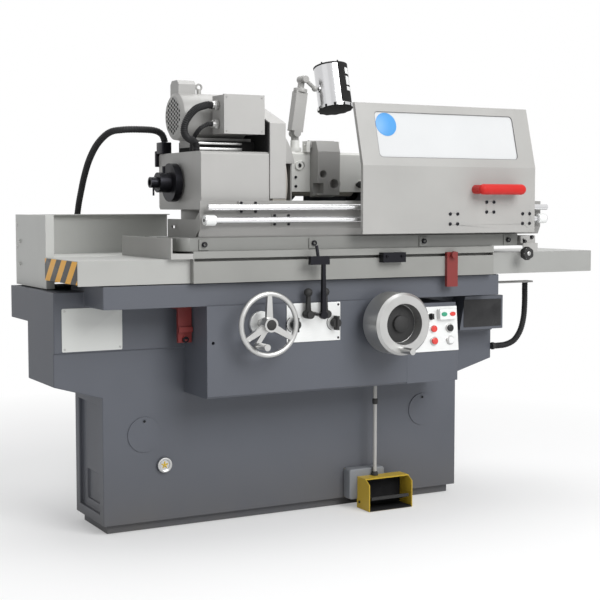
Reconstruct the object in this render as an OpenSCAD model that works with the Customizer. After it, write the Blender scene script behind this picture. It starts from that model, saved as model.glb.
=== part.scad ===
// Universal cylindrical grinder: a T-shaped bed, a travelling table with a workhead and a
// tailstock, a wheelhead behind it and a sliding splash guard on two rails in front.
// X runs to the operator's right, Y to the back, Z up. The origin is on the floor.

/* [Bed] */
// Length of the plinth along X
plinth_len = 1254; // [1200:2:1270]
// Height of the plinth
plinth_h = 28; // [20:1:60]
// Depth of the whole plinth along Y
plinth_depth = 1000; // [960:5:1100]
// Depth of the plinth under the front bar
bar_depth = 210; // [180:1:230]
// Length of the bed column
column_len = 1290; // [1280:2:1310]
// Depth of the bed column
column_depth = 254; // [240:1:300]
// How far the column stands ahead of the plinth
column_step = 22; // [10:1:40]
// Width of the rear bar that carries the wheelhead
rear_w = 680; // [600:5:760]
// Length of the bed over both wings
wing_len = 1590; // [1560:2:1640]
// Height at which the wings leave the column
wing_low = 420; // [400:1:425]
// Height of the wings' flat underside
wing_flat = 463; // [450:1:490]
// Height of the raised band on the bed
band_low = 563; // [540:1:590]
// How far the band stands proud
band_out = 8; // [4:0.5:14]
// Underside of the deck
deck_low = 640; // [620:1:660]
// Top of the deck
deck_top = 743; // [730:1:750]
// Depth of the deck along Y
deck_depth = 441; // [420:1:460]
// Wall of the castings
casting_wall = 38; // [24:1:60]

/* [Ways] */
// Underside of the way shelf
shelf_low = 700; // [690:1:710]
// Top of the way shelf
shelf_top = 768; // [760:1:772]
// Length of the way shelf
shelf_len = 1400; // [1300:5:1500]
// How far the shelf reaches out over the band
shelf_out = 160; // [150:1:166]
// Height of the ways above the shelf
way_h = 18; // [12:1:24]
// Top of the rear bar
rear_top = 792; // [775:1:800]

/* [Apron and console] */
// Left end of the apron
apron_left = -378; // [-420:1:-340]
// Right end of the apron, where the console begins
apron_right = 330; // [300:1:340]
// Underside of the apron
apron_low = 422; // [400:1:424]
// How far the apron stands out from the column
apron_out = 173; // [168:1:190]
// Width of the console box
console_w = 201; // [196:1:240]
// Height of the console box
console_h = 258; // [250:1:270]
// Height of the console's sloped panel
panel_h = 146; // [140:1:160]
// Tilt of the panel
panel_tilt = 5.5; // [2:0.5:12]
// Thickness of the panels
panel_t = 4; // [2:0.5:6]
// Diameter of a push button
button_d = 22; // [16:0.5:26]
// Travel of a push button
button_travel = 4; // [2:0.5:6]

/* [Handwheels] */
// Diameter of the table handwheel
table_wheel_d = 200; // [160:2:230]
// Diameter of the rim bar
rim_d = 16; // [10:0.5:24]
// Diameter of the infeed handwheel
infeed_wheel_d = 196; // [160:2:220]
// Diameter of the handwheel shafts
shaft_d = 26; // [18:1:34]

/* [Table] */
// Distance of the table from the middle of the bed, as shown
table_x = 160; // [130:1:180]
// Length of the machined table
table_len = 1088; // [1060:2:1120]
// Depth of the machined table
table_depth = 311; // [300:1:330]
// Height of the lower table
table_h = 94; // [88:1:110]
// Length of the table over both covers
cover_len = 1872; // [1800:4:1940]
// How far the cover tops lie under the table top
cover_drop = 22; // [10:1:30]
// Sheet thickness of covers and guards
sheet_t = 3; // [2:0.25:5]
// Length of the upper table
upper_len = 1230; // [1200:2:1250]
// Height of the upper table
upper_h = 39; // [34:1:50]
// Height of the centres above the upper table
centre_h = 165; // [160:1:190]

/* [Guard] */
// Width of the sliding guard
guard_w = 668; // [600:2:700]
// Height of the guard's lower panel
guard_low_h = 212; // [190:1:230]
// Height of the guard's leaning panel
guard_high_h = 196; // [170:1:220]
// How far the leaning panel falls back
guard_lean = 53; // [30:1:70]
// Diameter of the guide rails
rail_d = 19; // [14:0.5:22]
// Length of the guide rails past the guard
rail_spare = 50.2; // [40:0.1:90]

/* [Workhead] */
// Length of the workhead housing
head_len = 226; // [210:1:240]
// Depth of the workhead housing
head_depth = 325; // [300:1:330]
// Height of the workhead housing
head_h = 174; // [160:1:190]
// Diameter of the workhead motor
motor_d = 148; // [130:1:160]
// Diameter of the spindle
spindle_d = 70; // [50:1:80]
// Bore through the spindle
spindle_bore_d = 20; // [12:0.5:24]

/* [Wheelhead] */
// Diameter of the grinding wheel
wheel_d = 360; // [300:2:380]
// Width of the grinding wheel
wheel_w = 50; // [30:1:60]
// Clear distance from the work axis to the wheel
wheel_gap = 60; // [45:1:90]
// Width of the wheel guard
wheel_guard_w = 100; // [90:1:106]

/* [Hidden] */
$fn = 48;
// Overrun of the cuts
over = 1;
// Clearance of a running fit, and of two faces that slide on each other
fit = 0.05;
slide_gap = 0.4;
// Clearance around pieces that pass each other
pass_gap = 2;
// Front faces of the plinth, column, band and apron
plinth_front = -plinth_depth / 2;
column_front = plinth_front - column_step;
band_front = column_front - band_out;
column_back = column_front + column_depth;
apron_front = column_front - apron_out;
shelf_front = band_front - shelf_out;
// Place of the rear bar along X
rear_mid = 220;
// The work axis
axis_y = plinth_front - 15;
table_z = shelf_top + pass_gap;
table_top = table_z + table_h;
cover_top = table_top - cover_drop;
upper_z = table_top + slide_gap;
upper_top = upper_z + upper_h;
axis_z = upper_top + centre_h;
// The machined table and its covers
table_front = apron_front - 20;
table_back = table_front + table_depth;
table_left = table_x - 13 * table_len / 24;
cover_front = apron_front;
cover_left = table_x - cover_len / 2;
cover_right = table_x + cover_len / 2;
// The upper table
upper_left = table_x - 0.509 * upper_len;
upper_right = upper_left + upper_len;
upper_front = table_front + 10;
upper_back = upper_front + 0.9 * table_depth;
// T-slot in the front of the table
slot_z = table_z + 0.73 * table_h;
slot_w = 9;
slot_d = 22;
dog_y = table_front - 26;
dog_t = 26 - pass_gap;

// Profile in Y and Z carried along X
module along_x(x0, len) {
    translate([x0, 0, 0]) rotate([90, 0, 90]) linear_extrude(height = len) children();
}
// Profile in X and Z carried along Y
module along_y(y0, len) {
    translate([0, y0 + len, 0]) rotate([90, 0, 0]) linear_extrude(height = len) children();
}
module rod_x(x0, len, d) {
    translate([x0, 0, 0]) rotate([0, 90, 0]) cylinder(h = len, d = d);
}
module rod_y(y0, len, d) {
    translate([0, y0, 0]) rotate([-90, 0, 0]) cylinder(h = len, d = d);
}
// Box from its lowest to its highest corner
module block(low, high) {
    translate(low) cube(high - low);
}
// Rectangle with round corners, centred
module round_rect(w, h, r) {
    square([w - 2 * r, h], center = true);
    square([w, h - 2 * r], center = true);
    for (sx = [-1, 1], sz = [-1, 1])
        translate([sx * (w / 2 - r), sz * (h / 2 - r)]) circle(r = r);
}
// Socket screw whose head stands out to the front
module front_screw(x, y, z, d) {
    translate([x, 0, z]) difference() {
        rod_y(y - d / 2, d / 2, d);
        rod_y(y - d / 2 - over, over + d / 4, d / 2);
    }
}
// Sweep of a round section along hand-chosen points
function unit3(v) = v / norm(v);
function heading(p, i) = unit3(p[min(i + 1, len(p) - 1)] - p[max(i - 1, 0)]);
function side_of(t) = unit3(cross(t, abs(t[2]) > 0.9 ? [0, 1, 0] : [0, 0, 1]));
function carried(p, i) = i == 0 ? side_of(heading(p, 0))
    : let(t = heading(p, i), s = carried(p, i - 1)) unit3(s - t * (s * t));
function curve(p, n) = [for (i = [0 : len(p) - 2]) for (k = [0 : n - 1])
    let(a = p[max(i - 1, 0)], b = p[i], c = p[i + 1], d = p[min(i + 2, len(p) - 1)], t = k / n)
    0.5 * (2 * b + (c - a) * t + (2 * a - 5 * b + 4 * c - d) * t * t
        + (3 * b - a - 3 * c + d) * t * t * t), p[len(p) - 1]];
module tube(points, radii, sides) {
    n = len(points);
    rings = [for (i = [0 : n - 1])
        let(t = heading(points, i), s = carried(points, i), u = cross(t, s))
        for (k = [0 : sides - 1])
            points[i] + radii[i] * (s * cos(360 * k / sides) + u * sin(360 * k / sides))];
    polyhedron(points = rings, faces = concat(
        [[for (k = [0 : sides - 1]) k]],
        [[for (k = [sides - 1 : -1 : 0]) (n - 1) * sides + k]],
        [for (i = [0 : n - 2]) for (k = [0 : sides - 1])
            let(j = (k + 1) % sides, a = i * sides) [a + k, a + sides + k, a + sides + j]],
        [for (i = [0 : n - 2]) for (k = [0 : sides - 1])
            let(j = (k + 1) % sides, a = i * sides) [a + k, a + sides + j, a + j]]));
}

// Bed
v_way_y = shelf_front + 50;
flat_way_y = table_back - 62;
way_w = 44;
infeed_way_y = 190;
infeed_way_len = 560;
infeed_way_gap = 260;
module v_way(w, h) {
    polygon([[-w / 2, 0], [w / 2, 0], [w / 5, h], [-w / 5, h]]);
}
module bed_casting() color([0.38, 0.40, 0.44]) {
    column_end = column_len / 2;
    wing_end = wing_len / 2;
    recess = 12;
    pocket = 60;
    rear_left = rear_mid - rear_w / 2;
    difference() {
        union() {
            block([-plinth_len / 2, plinth_front, 0],
                [plinth_len / 2, plinth_front + bar_depth, plinth_h]);
            block([rear_left + column_step, plinth_front + bar_depth - over, 0],
                [rear_left + rear_w - column_step, plinth_front + plinth_depth, plinth_h]);
            along_y(column_front, column_depth) polygon([[-column_end, plinth_h],
                [column_end, plinth_h], [column_end, wing_low], [wing_end, wing_flat],
                [wing_end, band_low + over], [-wing_end, band_low + over],
                [-wing_end, wing_flat], [-column_end, wing_low]]);
            block([-wing_end, band_front, band_low],
                [wing_end, column_back, deck_low + over]);
            block([-wing_end, band_front, deck_low],
                [wing_end, band_front + deck_depth, deck_top]);
            block([-shelf_len / 2, shelf_front, shelf_low],
                [shelf_len / 2, table_back, shelf_top]);
            block([rear_left, column_back - over, plinth_h],
                [rear_left + rear_w, plinth_front + plinth_depth, rear_top]);
            translate([0, v_way_y, shelf_top - over])
                along_x(-shelf_len / 2, shelf_len) v_way(way_w, way_h + over);
            block([-shelf_len / 2, flat_way_y - way_w / 2, shelf_top - over],
                [shelf_len / 2, flat_way_y + way_w / 2, shelf_top + way_h]);
            for (side = [-1, 1])
                translate([rear_mid + side * infeed_way_gap / 2, 0, rear_top - over])
                    along_y(infeed_way_y - infeed_way_len / 2, infeed_way_len)
                        v_way(way_w, way_h + over);
        }
        block([-column_end + casting_wall, column_front + casting_wall, plinth_h + casting_wall],
            [column_end - casting_wall, column_back - casting_wall, shelf_low - casting_wall]);
        block([rear_left + casting_wall, column_back + casting_wall, plinth_h + casting_wall],
            [rear_left + rear_w - casting_wall,
             plinth_front + plinth_depth - casting_wall, rear_top - casting_wall]);
        block([-column_end - over, column_front + 0.14 * column_depth, 0.14 * wing_low],
            [-column_end + recess, column_back - 0.14 * column_depth, 0.94 * wing_low]);
        block([-column_end - over, column_front + 0.22 * column_depth, 0.2 * wing_low],
            [-column_end + casting_wall / 2, column_back - 0.3 * column_depth,
             0.42 * wing_low]);
    }
}
// Access covers and the oil sight on the column
access_places = [[-512, 300], [505, 303]];
sight_place = [-448, 201];
cover_d = 108;
module front_fittings() color([0.36, 0.38, 0.42]) {
    key_d = 8;
    sight_d = 48;
    for (p = access_places) translate([p[0], 0, p[1]]) difference() {
        rod_y(column_front - sheet_t, sheet_t, cover_d);
        translate([0, 0, 0.38 * cover_d])
            rod_y(column_front - sheet_t - over, sheet_t + 2 * over, key_d);
    }
    translate([sight_place[0], 0, sight_place[1]]) {
        difference() {
            rod_y(column_front - 2 * sheet_t, 2 * sheet_t, sight_d);
            rod_y(column_front - 2 * sheet_t - over, 2 * sheet_t + 2 * over, 0.62 * sight_d);
        }
        rod_y(column_front - sheet_t, sheet_t, 0.62 * sight_d);
    }
}
// Places of the handwheels
table_wheel = [-203, 643];
infeed_wheel = [236, 630];
flange_d = 74;
flange_t = 12;
module apron() color([0.38, 0.40, 0.44]) {
    peep_d = 10;
    edge = 6;
    difference() {
        along_x(apron_left, apron_right - apron_left) polygon([
            [apron_front + edge, apron_low], [column_front, apron_low],
            [column_front, band_low], [band_front, band_low], [band_front, shelf_low],
            [apron_front, shelf_low], [apron_front, apron_low + edge]]);
        block([apron_left + casting_wall / 2, apron_front + casting_wall / 2,
                apron_low + casting_wall / 2],
            [apron_right - casting_wall / 2, column_front - band_out - casting_wall / 4,
                shelf_low - casting_wall / 2]);
        for (w = [table_wheel, infeed_wheel]) translate([w[0], 0, w[1]])
            rod_y(apron_front - over, casting_wall, shaft_d + 2 * fit);
        translate([apron_left + 2 * peep_d, 0, apron_low + 0.6 * (shelf_low - apron_low)])
            rod_y(apron_front - over, casting_wall, peep_d);
    }
}
panel_foot = 100;
panel_y = apron_front;
console_right = apron_right + console_w;
module console_box() color([0.38, 0.40, 0.44]) {
    lean = panel_h * tan(panel_tilt);
    difference() {
        along_x(apron_right, console_w) polygon([
            [panel_y, apron_low], [column_front, apron_low], [column_front, band_low],
            [band_front, band_low], [band_front, apron_low + console_h],
            [panel_y + lean, apron_low + console_h],
            [panel_y + lean, apron_low + panel_foot + panel_h],
            [panel_y, apron_low + panel_foot]]);
        block([apron_right + 2 * sheet_t, panel_y + lean + 4 * sheet_t,
                apron_low + 2 * sheet_t],
            [console_right - 2 * sheet_t, band_front - 2 * sheet_t,
                apron_low + console_h - 2 * sheet_t]);
        for (c = button_columns, r = button_rows) on_panel(c, r)
            rotate([-90, 0, 0])
                translate([0, 0, -over]) cylinder(h = 30, d = button_d - 2 * sheet_t);
        for (c = [button_columns[0], button_columns[1]]) on_panel(c - 8, selector_row)
            rotate([-90, 0, 0])
                translate([0, 0, -over]) cylinder(h = 30, d = button_d - 2 * sheet_t);
    }
}
// Columns from the panel's left edge and rows from its lower edge
button_columns = [38, 104, 168];
button_rows = [34, 74];
selector_row = 114;
// Place on the sloped face: x from its left edge, z from its lower edge
module on_panel(x, z) {
    translate([apron_right, panel_y, apron_low + panel_foot])
        rotate([-panel_tilt, 0, 0]) translate([x, 0, z]) children();
}
module console_panel() color([0.86, 0.87, 0.87]) {
    lamp_box_w = 66;
    lamp_box_h = 34;
    collar = 3;
    difference() {
        on_panel(0, 0) {
            block([4 * sheet_t / 3, -panel_t, 0], [console_w, 0, panel_h]);
            for (c = button_columns, r = button_rows) translate([c, 0, r])
                rod_y(-panel_t - collar, collar + over, button_d + 2 * collar);
            for (c = [button_columns[0], button_columns[1]])
                translate([c - 8, 0, selector_row])
                    rod_y(-panel_t - collar, collar + over, button_d + 2 * collar);
        }
        on_panel(0, 0) {
            for (c = button_columns, r = button_rows) translate([c, 0, r])
                rod_y(-panel_t - 2 * collar, panel_t + 3 * collar, button_d);
            for (c = [button_columns[0], button_columns[1]])
                translate([c - 8, 0, selector_row])
                    rod_y(-panel_t - 2 * collar, panel_t + 3 * collar, button_d);
        }
    }
    on_panel(0, 0) {
        block([button_columns[2] - 0.68 * lamp_box_w, -panel_t - 16, selector_row - lamp_box_h / 3],
            [button_columns[2] + 0.32 * lamp_box_w, -panel_t,
                selector_row + 2 * lamp_box_h / 3]);
        // Indicator lamps in the right column and under the left pair
        for (r = button_rows) translate([button_columns[2], 0, r])
            rod_y(-panel_t - 9, 9 + panel_t, button_d);
        for (c = [0, 1]) translate([button_columns[c], 0, button_rows[0]])
            rod_y(-panel_t - 9, 9 + panel_t, button_d);
    }
}
module push_button(column, row) {
    on_panel(button_columns[column], button_rows[row]) {
        rod_y(-panel_t - button_travel - 5, panel_t + 5 - slide_gap, button_d - 2 * slide_gap);
        rod_y(-button_travel - over, 16 + button_travel, button_d - 3 * sheet_t);
    }
}
module green_button_upper() color([0.1, 0.6, 0.4]) push_button(0, 1);
module red_button_upper() color([0.85, 0.25, 0.2]) push_button(1, 1);
module selector(column) {
    on_panel(button_columns[column] - 8, selector_row) {
        rod_y(-panel_t - 6, 6 + panel_t / 2, button_d - 2 * slide_gap);
        rod_y(-panel_t / 2 - over, 16, button_d - 3 * sheet_t);
        block([-3.5, -panel_t - 17, -0.42 * button_d], [3.5, -panel_t - 5, 0.42 * button_d]);
    }
}
module selector_left() color([0.08, 0.08, 0.08]) selector(0);
module selector_right() color([0.08, 0.08, 0.08]) selector(1);
// Control plate with the hand levers
plate_left = -112;
plate_right = 78;
plate_low = 578;
lever_pivot = -16;
lever_gap = 30;
hand_z = 664;
knob_z = 634;
knob_out = 14;
module control_plate() color([0.74, 0.75, 0.74]) {
    difference() {
        block([plate_left, apron_front - panel_t, plate_low],
            [plate_right, apron_front, shelf_low - pass_gap]);
        for (x = [plate_left + 1.7 * knob_out, plate_right - 1.7 * knob_out])
            translate([x, 0, knob_z]) rod_y(apron_front - panel_t - over, panel_t + 2 * over, 10);
        for (s = [-1, 0, 1]) translate([lever_pivot + s * lever_gap, 0, hand_z])
            rod_y(apron_front - panel_t - over, panel_t + 2 * over, 12 + 2 * fit);
    }
    translate([table_wheel[0], 0, table_wheel[1]]) difference() {
        rod_y(apron_front - flange_t, flange_t, flange_d);
        rod_y(apron_front - flange_t - over, flange_t + 2 * over, shaft_d + 2 * fit);
    }
    translate([infeed_wheel[0], 0, infeed_wheel[1]]) difference() {
        rod_y(apron_front - flange_t, flange_t, 1.6 * flange_d);
        rod_y(apron_front - flange_t - over, flange_t + 2 * over, shaft_d + 2 * fit);
    }
}
hand_d = 46;
hand_y = apron_front - panel_t - 16;
module hand_lever(s, grip_y) {
    stem_d = 12;
    translate([lever_pivot + s * lever_gap, 0, hand_z]) {
        rod_y(grip_y, apron_front - grip_y - pass_gap, stem_d);
        translate([0, grip_y, 0]) rod_y(-14, 28, 26);
        along_y(grip_y - 6, 12) polygon([[-8, -8], [8, -8], [5, 62], [-5, 62]]);
        translate([0, grip_y, 68]) sphere(d = 27, $fn = 32);
        translate([0, grip_y, 0]) rod_y(-20, 14, hand_d - 22);
    }
}
module start_lever() color([0.07, 0.07, 0.07]) hand_lever(-1, hand_y);
module stop_lever() color([0.07, 0.07, 0.07]) hand_lever(1, hand_y);
reverse_y = dog_y - 16;
module reverse_lever() color([0.09, 0.09, 0.09]) {
    head_w = 66;
    head_z = table_z + 0.66 * table_h;
    translate([lever_pivot, 0, 0]) {
        translate([0, 0, hand_z]) {
            rod_y(reverse_y - 8, apron_front - reverse_y + 8 - pass_gap, 12);
            rod_y(reverse_y - 8, 16, 24);
        }
        along_y(reverse_y - 6, 12) polygon([[-7, hand_z], [7, hand_z], [5, head_z], [-5, head_z]]);
        block([-0.74 * head_w, reverse_y - 9, head_z - 13], [0.26 * head_w, reverse_y + 7, head_z + 13]);
        translate([-0.26 * head_w, reverse_y, head_z]) rotate([0, -9, 0]) cylinder(h = 46, d = 10);
    }
}
module pointer_knob(x) {
    translate([x, 0, knob_z]) {
        rod_y(apron_front - panel_t - 24, 22, 2 * knob_out);
        rod_y(apron_front - panel_t - over, panel_t, 9);
        block([-4, apron_front - panel_t - 30, -22], [4, apron_front - panel_t - 6, 22]);
    }
}
module speed_knob() color([0.07, 0.07, 0.07]) pointer_knob(plate_left + 1.7 * knob_out);
module dwell_knob() color([0.07, 0.07, 0.07]) pointer_knob(plate_right - 1.7 * knob_out);
// Side console on the right wing
side_x = [606, 787];
side_z = [575, 690];
side_out = 70;
module side_console() color([0.40, 0.42, 0.46]) {
    difference() {
        along_y(band_front - side_out, side_out) polygon([
            [side_x[0], side_z[0]], [side_x[1], side_z[0]], [side_x[1], side_z[1]],
            [side_x[0] + 0.3 * side_out, side_z[1]]]);
        block([side_x[0] + 0.6 * side_out, band_front - side_out + 2 * sheet_t, side_z[0] + 2 * sheet_t],
            [side_x[1] - 2 * sheet_t, band_front + over, side_z[1] - 2 * sheet_t]);
    }
    // Bearing of the ball lever
    translate([side_x[0] - 26, 0, side_z[0] + 4]) difference() {
        rod_y(band_front - 22, 22, 34);
        rod_y(band_front - 22 - over, 22 + 2 * over, 12 + 2 * fit);
    }
}
module side_lever() color([0.06, 0.06, 0.06]) {
    translate([side_x[0] - 26, 0, side_z[0] + 4]) {
        rod_y(band_front - 44, 44 - pass_gap, 12);
        rod_y(band_front - 44, 14, 24);
        rotate([0, 14, 0]) translate([0, band_front - 37, 0]) {
            cylinder(h = 62, d = 8);
            translate([0, 0, 68]) sphere(d = 25, $fn = 32);
        }
    }
}
module lock_strap(x, y, z0, z1, w, t) {
    block([x - w / 2, y, z0], [x + w / 2, y + t, z1]);
    block([x - w / 2, y - 0.7 * t, z0 + 0.28 * (z1 - z0)], [x + w / 2, y + over, z0 + 0.42 * (z1 - z0)]);
}
module travel_lock_left() color([0.55, 0.13, 0.10]) {
    strap_w = 44;
    strap_t = 12;
    x = apron_left - strap_w / 2 - 4;
    y = band_front - 60;
    lock_strap(x, y, band_low + 0.15 * (shelf_low - band_low), shelf_low - pass_gap, strap_w, strap_t);
    block([x - strap_w / 2, y, shelf_low - pass_gap - strap_t],
        [x + strap_w / 2, band_front, shelf_low - pass_gap]);
    front_screw(x, y, band_low + 0.25 * (shelf_low - band_low), 16);
}
// Foot switch on the floor in front of the plinth
foot_x = [223, 391];
foot_y = [-640, -562];
foot_h = 104;
foot_pin_z = 22;
conduit_x = 284;
module foot_switch_guard() color([0.85, 0.68, 0.08]) {
    gap = foot_x[1] - foot_x[0];
    mid = (foot_x[0] + foot_x[1]) / 2;
    difference() {
        along_x(foot_x[0], gap) polygon([[foot_y[0], 0], [foot_y[1], 0], [foot_y[1], foot_h],
            [foot_y[0] + 0.25 * foot_h, foot_h], [foot_y[0], 0.84 * foot_h]]);
        block([foot_x[0] + sheet_t, foot_y[0] - over, sheet_t],
            [foot_x[1] - sheet_t, foot_y[1] - sheet_t, foot_h - sheet_t]);
        translate([foot_x[0] - over, foot_y[1] - 18, foot_pin_z])
            rotate([0, 90, 0]) cylinder(h = gap + 2 * over, d = 8 + 2 * fit);
    }
    // Switch box behind the guard and the conduit that rises to the apron
    block([foot_x[0] - 26, foot_y[1], plinth_h + sheet_t], [mid + 18, column_front, foot_h + 22]);
    translate([conduit_x, foot_y[1] - 13, 0]) {
        translate([0, 0, foot_h]) cylinder(h = apron_low - foot_h, d = 11);
        translate([0, 0, 0.82 * apron_low]) cylinder(h = 14, d = 16);
    }
}
module foot_pedal() color([0.07, 0.07, 0.07]) {
    translate([0, foot_y[1] - 18, foot_pin_z])
        rod_x(foot_x[0] - sheet_t, foot_x[1] - foot_x[0] + 2 * sheet_t, 8);
    difference() {
        along_x(foot_x[0] + 4 * sheet_t, foot_x[1] - foot_x[0] - 8 * sheet_t) polygon([
            [foot_y[1] - 10, foot_pin_z - 6], [foot_y[1] - 10, foot_pin_z + 8],
            [foot_y[0] + 4, 0.44 * foot_h], [foot_y[0] + 4, 0.34 * foot_h]]);
        for (i = [1 : 7])
            translate([0, foot_y[0] + 8 * i, 0.445 * foot_h - 1.35 * i])
                rod_x(foot_x[0], foot_x[1] - foot_x[0], 2.4);
    }
}
// Hose at the right end: from a bracket under the cover round to the wing's end
hose_d = 14;
right_hose_route = [[940, -526, 726], [940, -526, 700], [940, -526, 650], [936, -526, 600],
    [922, -526, 555], [896, -526, 522], [862, -526, 508], [830, -526, 505], [807, -526, 505]];
module coolant_hose() color([0.05, 0.05, 0.05]) {
    route = curve(right_hose_route, 3);
    tube(route, [for (p = route) hose_d / 2], 12);
    // Bracket on the end of the deck, and the gland on the end of the wing
    start = right_hose_route[0];
    last = right_hose_route[len(right_hose_route) - 1];
    block([max(wing_len, shelf_len) / 2, start[1] - 20, start[2]],
        [start[0] + 22, start[1] + 20, start[2] + 2 * sheet_t]);
    translate([0, last[1], last[2]]) rod_x(wing_len / 2, last[0] - wing_len / 2, 24);
}
// Table
module lower_table() color([0.70, 0.71, 0.70]) {
    groove_gap = fit;
    slot_left = table_left;
    difference() {
        union() {
            block([table_left, table_front, table_z], [table_left + table_len, table_back, table_top]);
            block([cover_left + sheet_t, cover_front + 4 * sheet_t, table_z + 2 * pass_gap],
                [cover_right - sheet_t, table_back - 4 * sheet_t, cover_top - sheet_t]);
        }
        translate([0, v_way_y, shelf_top]) along_x(cover_left - over, cover_len + 2 * over)
            v_way(way_w + 2 * groove_gap, way_h + groove_gap);
        translate([0, v_way_y, table_z - over]) along_x(cover_left - over, cover_len + 2 * over)
            translate([-way_w / 2, 0]) square([way_w, over]);
        block([cover_left - over, flat_way_y - way_w / 2 - groove_gap, table_z - over],
            [cover_right + over, flat_way_y + way_w / 2 + groove_gap, shelf_top + way_h + groove_gap]);
        // T-slot
        block([slot_left + sheet_t, table_front - over, slot_z - slot_w / 2],
            [slot_left + table_len - sheet_t, table_front + slot_d, slot_z + slot_w / 2]);
        block([slot_left + sheet_t, table_front + slot_d / 2, slot_z - slot_w],
            [slot_left + table_len - sheet_t, table_front + slot_d, slot_z + slot_w]);
        // Swivel pin
        translate([swivel_x, swivel_y, table_top - upper_h])
            cylinder(h = upper_h + over, d = pivot_d + 2 * fit);
    }
}
pivot_d = 50;
swivel_x = upper_left + upper_len / 2;
swivel_y = axis_y;
module cover(x0, x1, end_x) {
    difference() {
        block([x0, cover_front, table_z], [x1, table_back, cover_top]);
        block([min(x0 + (x0 == end_x ? sheet_t : -over), x1), cover_front + sheet_t, table_z - over],
            [x1 - (x1 == end_x ? sheet_t : -over), table_back - sheet_t, cover_top - sheet_t]);
        // Way past the bed's slideways under the end
        block([x0 - over, cover_front + sheet_t, table_z - over],
            [x1 + over, table_back - sheet_t, shelf_top + way_h + pass_gap]);
    }
}
module table_cover_left() color([0.80, 0.81, 0.80]) cover(cover_left, table_left, cover_left);
module table_cover_right() color([0.78, 0.79, 0.78])
    cover(table_left + table_len, cover_right, cover_right);
// Sheet guard at the rear left, which stands on the table's cover
splash_top = 970;
splash_low = deck_top + 2 * pass_gap;
splash_back = band_front + deck_depth;
splash_right = -252;
// Place, size and half width of the box that the conduit drops into
conduit_box = [-548, -8];
conduit_room = 160;
conduit_half = 82;
module splash_guard() color([0.62, 0.63, 0.62]) {
    flange = 26;
    gap = 20;
    block([cover_left, table_back, cover_top - sheet_t], [trough_left, splash_back, cover_top]);
    block([trough_left - over, trough_back, cover_top - sheet_t], [splash_right, splash_back, cover_top]);
    block([cover_left, table_back, splash_low], [cover_left + sheet_t, splash_back, splash_top]);
    block([cover_left, splash_back - sheet_t, splash_low], [splash_right, splash_back, splash_top]);
    block([cover_left, table_back, splash_low], [cover_left + flange, table_back + sheet_t, splash_top]);
    block([cover_left, table_back, splash_top - sheet_t],
        [cover_left + flange, splash_back, splash_top]);
    block([cover_left, splash_back - flange, splash_top - sheet_t],
        [splash_right, splash_back, splash_top]);
    for (z = [0.3, 0.62]) translate([cover_left, splash_back - 0.12 * deck_depth,
            splash_low + z * (splash_top - splash_low)])
        rod_x(-2 * sheet_t, 2 * sheet_t, 4 * sheet_t);
    // Open box on the back, into which the conduit drops
    difference() {
        block([conduit_box[0] - conduit_half, splash_back, cover_top - 3 * gap],
            [conduit_box[0] + conduit_half, splash_back + conduit_room, cover_top + gap]);
        block([conduit_box[0] - conduit_half + sheet_t, splash_back + sheet_t, cover_top - 3 * gap + sheet_t],
            [conduit_box[0] + conduit_half - sheet_t, splash_back + conduit_room - sheet_t,
            cover_top + gap + over]);
    }
}
// Trough round the left end and the back of the upper table
trough_left = upper_left - 34;
trough_back = table_back + 88;
module coolant_trough() color([0.78, 0.79, 0.78]) {
    right = table_left + table_len;
    lip = 5;
    difference() {
        block([trough_left, table_back, table_top - 34], [right, trough_back, table_top - pass_gap]);
        block([trough_left + lip, table_back - over, table_top - 34 + lip],
            [right - lip, trough_back - lip, table_top + over]);
    }
    block([trough_left, table_front, cover_top], [table_left, table_back, table_top - 6]);
    block([trough_left, table_front, table_top - 6], [trough_left + lip, trough_back, upper_top]);
}
module travel_lock_right() color([0.50, 0.12, 0.10]) {
    x = table_x + 324;
    w = 42;
    t = 12;
    block([x - w / 2, table_front - t, shelf_top - 33], [x + w / 2, table_front, slot_z + slot_w]);
    translate([x, 0, slot_z]) rod_y(table_front - t - 14, 14, 22);
    block([x - w / 3, table_front, slot_z - slot_w / 2 + slide_gap],
        [x + w / 3, table_front + slot_d / 2, slot_z + slot_w / 2 - slide_gap]);
}
module trip_dog() color([0.08, 0.08, 0.08]) {
    x = table_x + 92;
    w = 84;
    block([x - w / 2, dog_y, slot_z - 0.8 * dog_t], [x + w / 2, table_front - slide_gap, slot_z + 0.5 * dog_t]);
    block([x - w / 4, table_front - over, slot_z - slot_w / 2 + slide_gap],
        [x + w / 4, table_front + slot_d / 2 + slide_gap, slot_z + slot_w / 2 - slide_gap]);
    block([x - w / 4, table_front + slot_d / 2 + slide_gap, slot_z - slot_w + slide_gap],
        [x + w / 4, table_front + slot_d - slide_gap, slot_z + slot_w - slide_gap]);
    for (s = [-1, 1]) front_screw(x + s * w / 3, dog_y, slot_z, 9);
}
// Bracket at the right end with the screws that set the swivel
module swivel_bracket() color([0.76, 0.77, 0.76]) {
    x0 = upper_right + 14;
    x1 = x0 + 62;
    depth = 74;
    difference() {
        along_x(x0, x1 - x0) polygon([[table_front - 4, table_top], [table_front + depth, table_top],
            [table_front + depth, upper_top - 6], [table_front + 10, upper_top - 6],
            [table_front + 10, table_top + 8], [table_front - 4, table_top + 8]]);
        translate([x0 + 12, 0, table_top + upper_h / 2])
            rod_y(table_front, depth + over, 8);
    }
    block([x0, table_front - 4, cover_top], [x1, table_front - over, table_top]);
    for (p = [[16, 0.35], [46, 0.72]]) front_screw(x0 + p[0], table_front + 10, table_top + p[1] * upper_h, 10);
    // Star knob on its stud
    translate([x0 - 6, 0, slot_z]) {
        rod_y(table_front - 24, 24, 12);
        rod_y(table_front - 42, 20, 30);
        for (i = [0 : 5]) rotate([0, 60 * i, 0]) translate([14, 0, 0]) rod_y(table_front - 42, 20, 11);
    }
}
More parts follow.
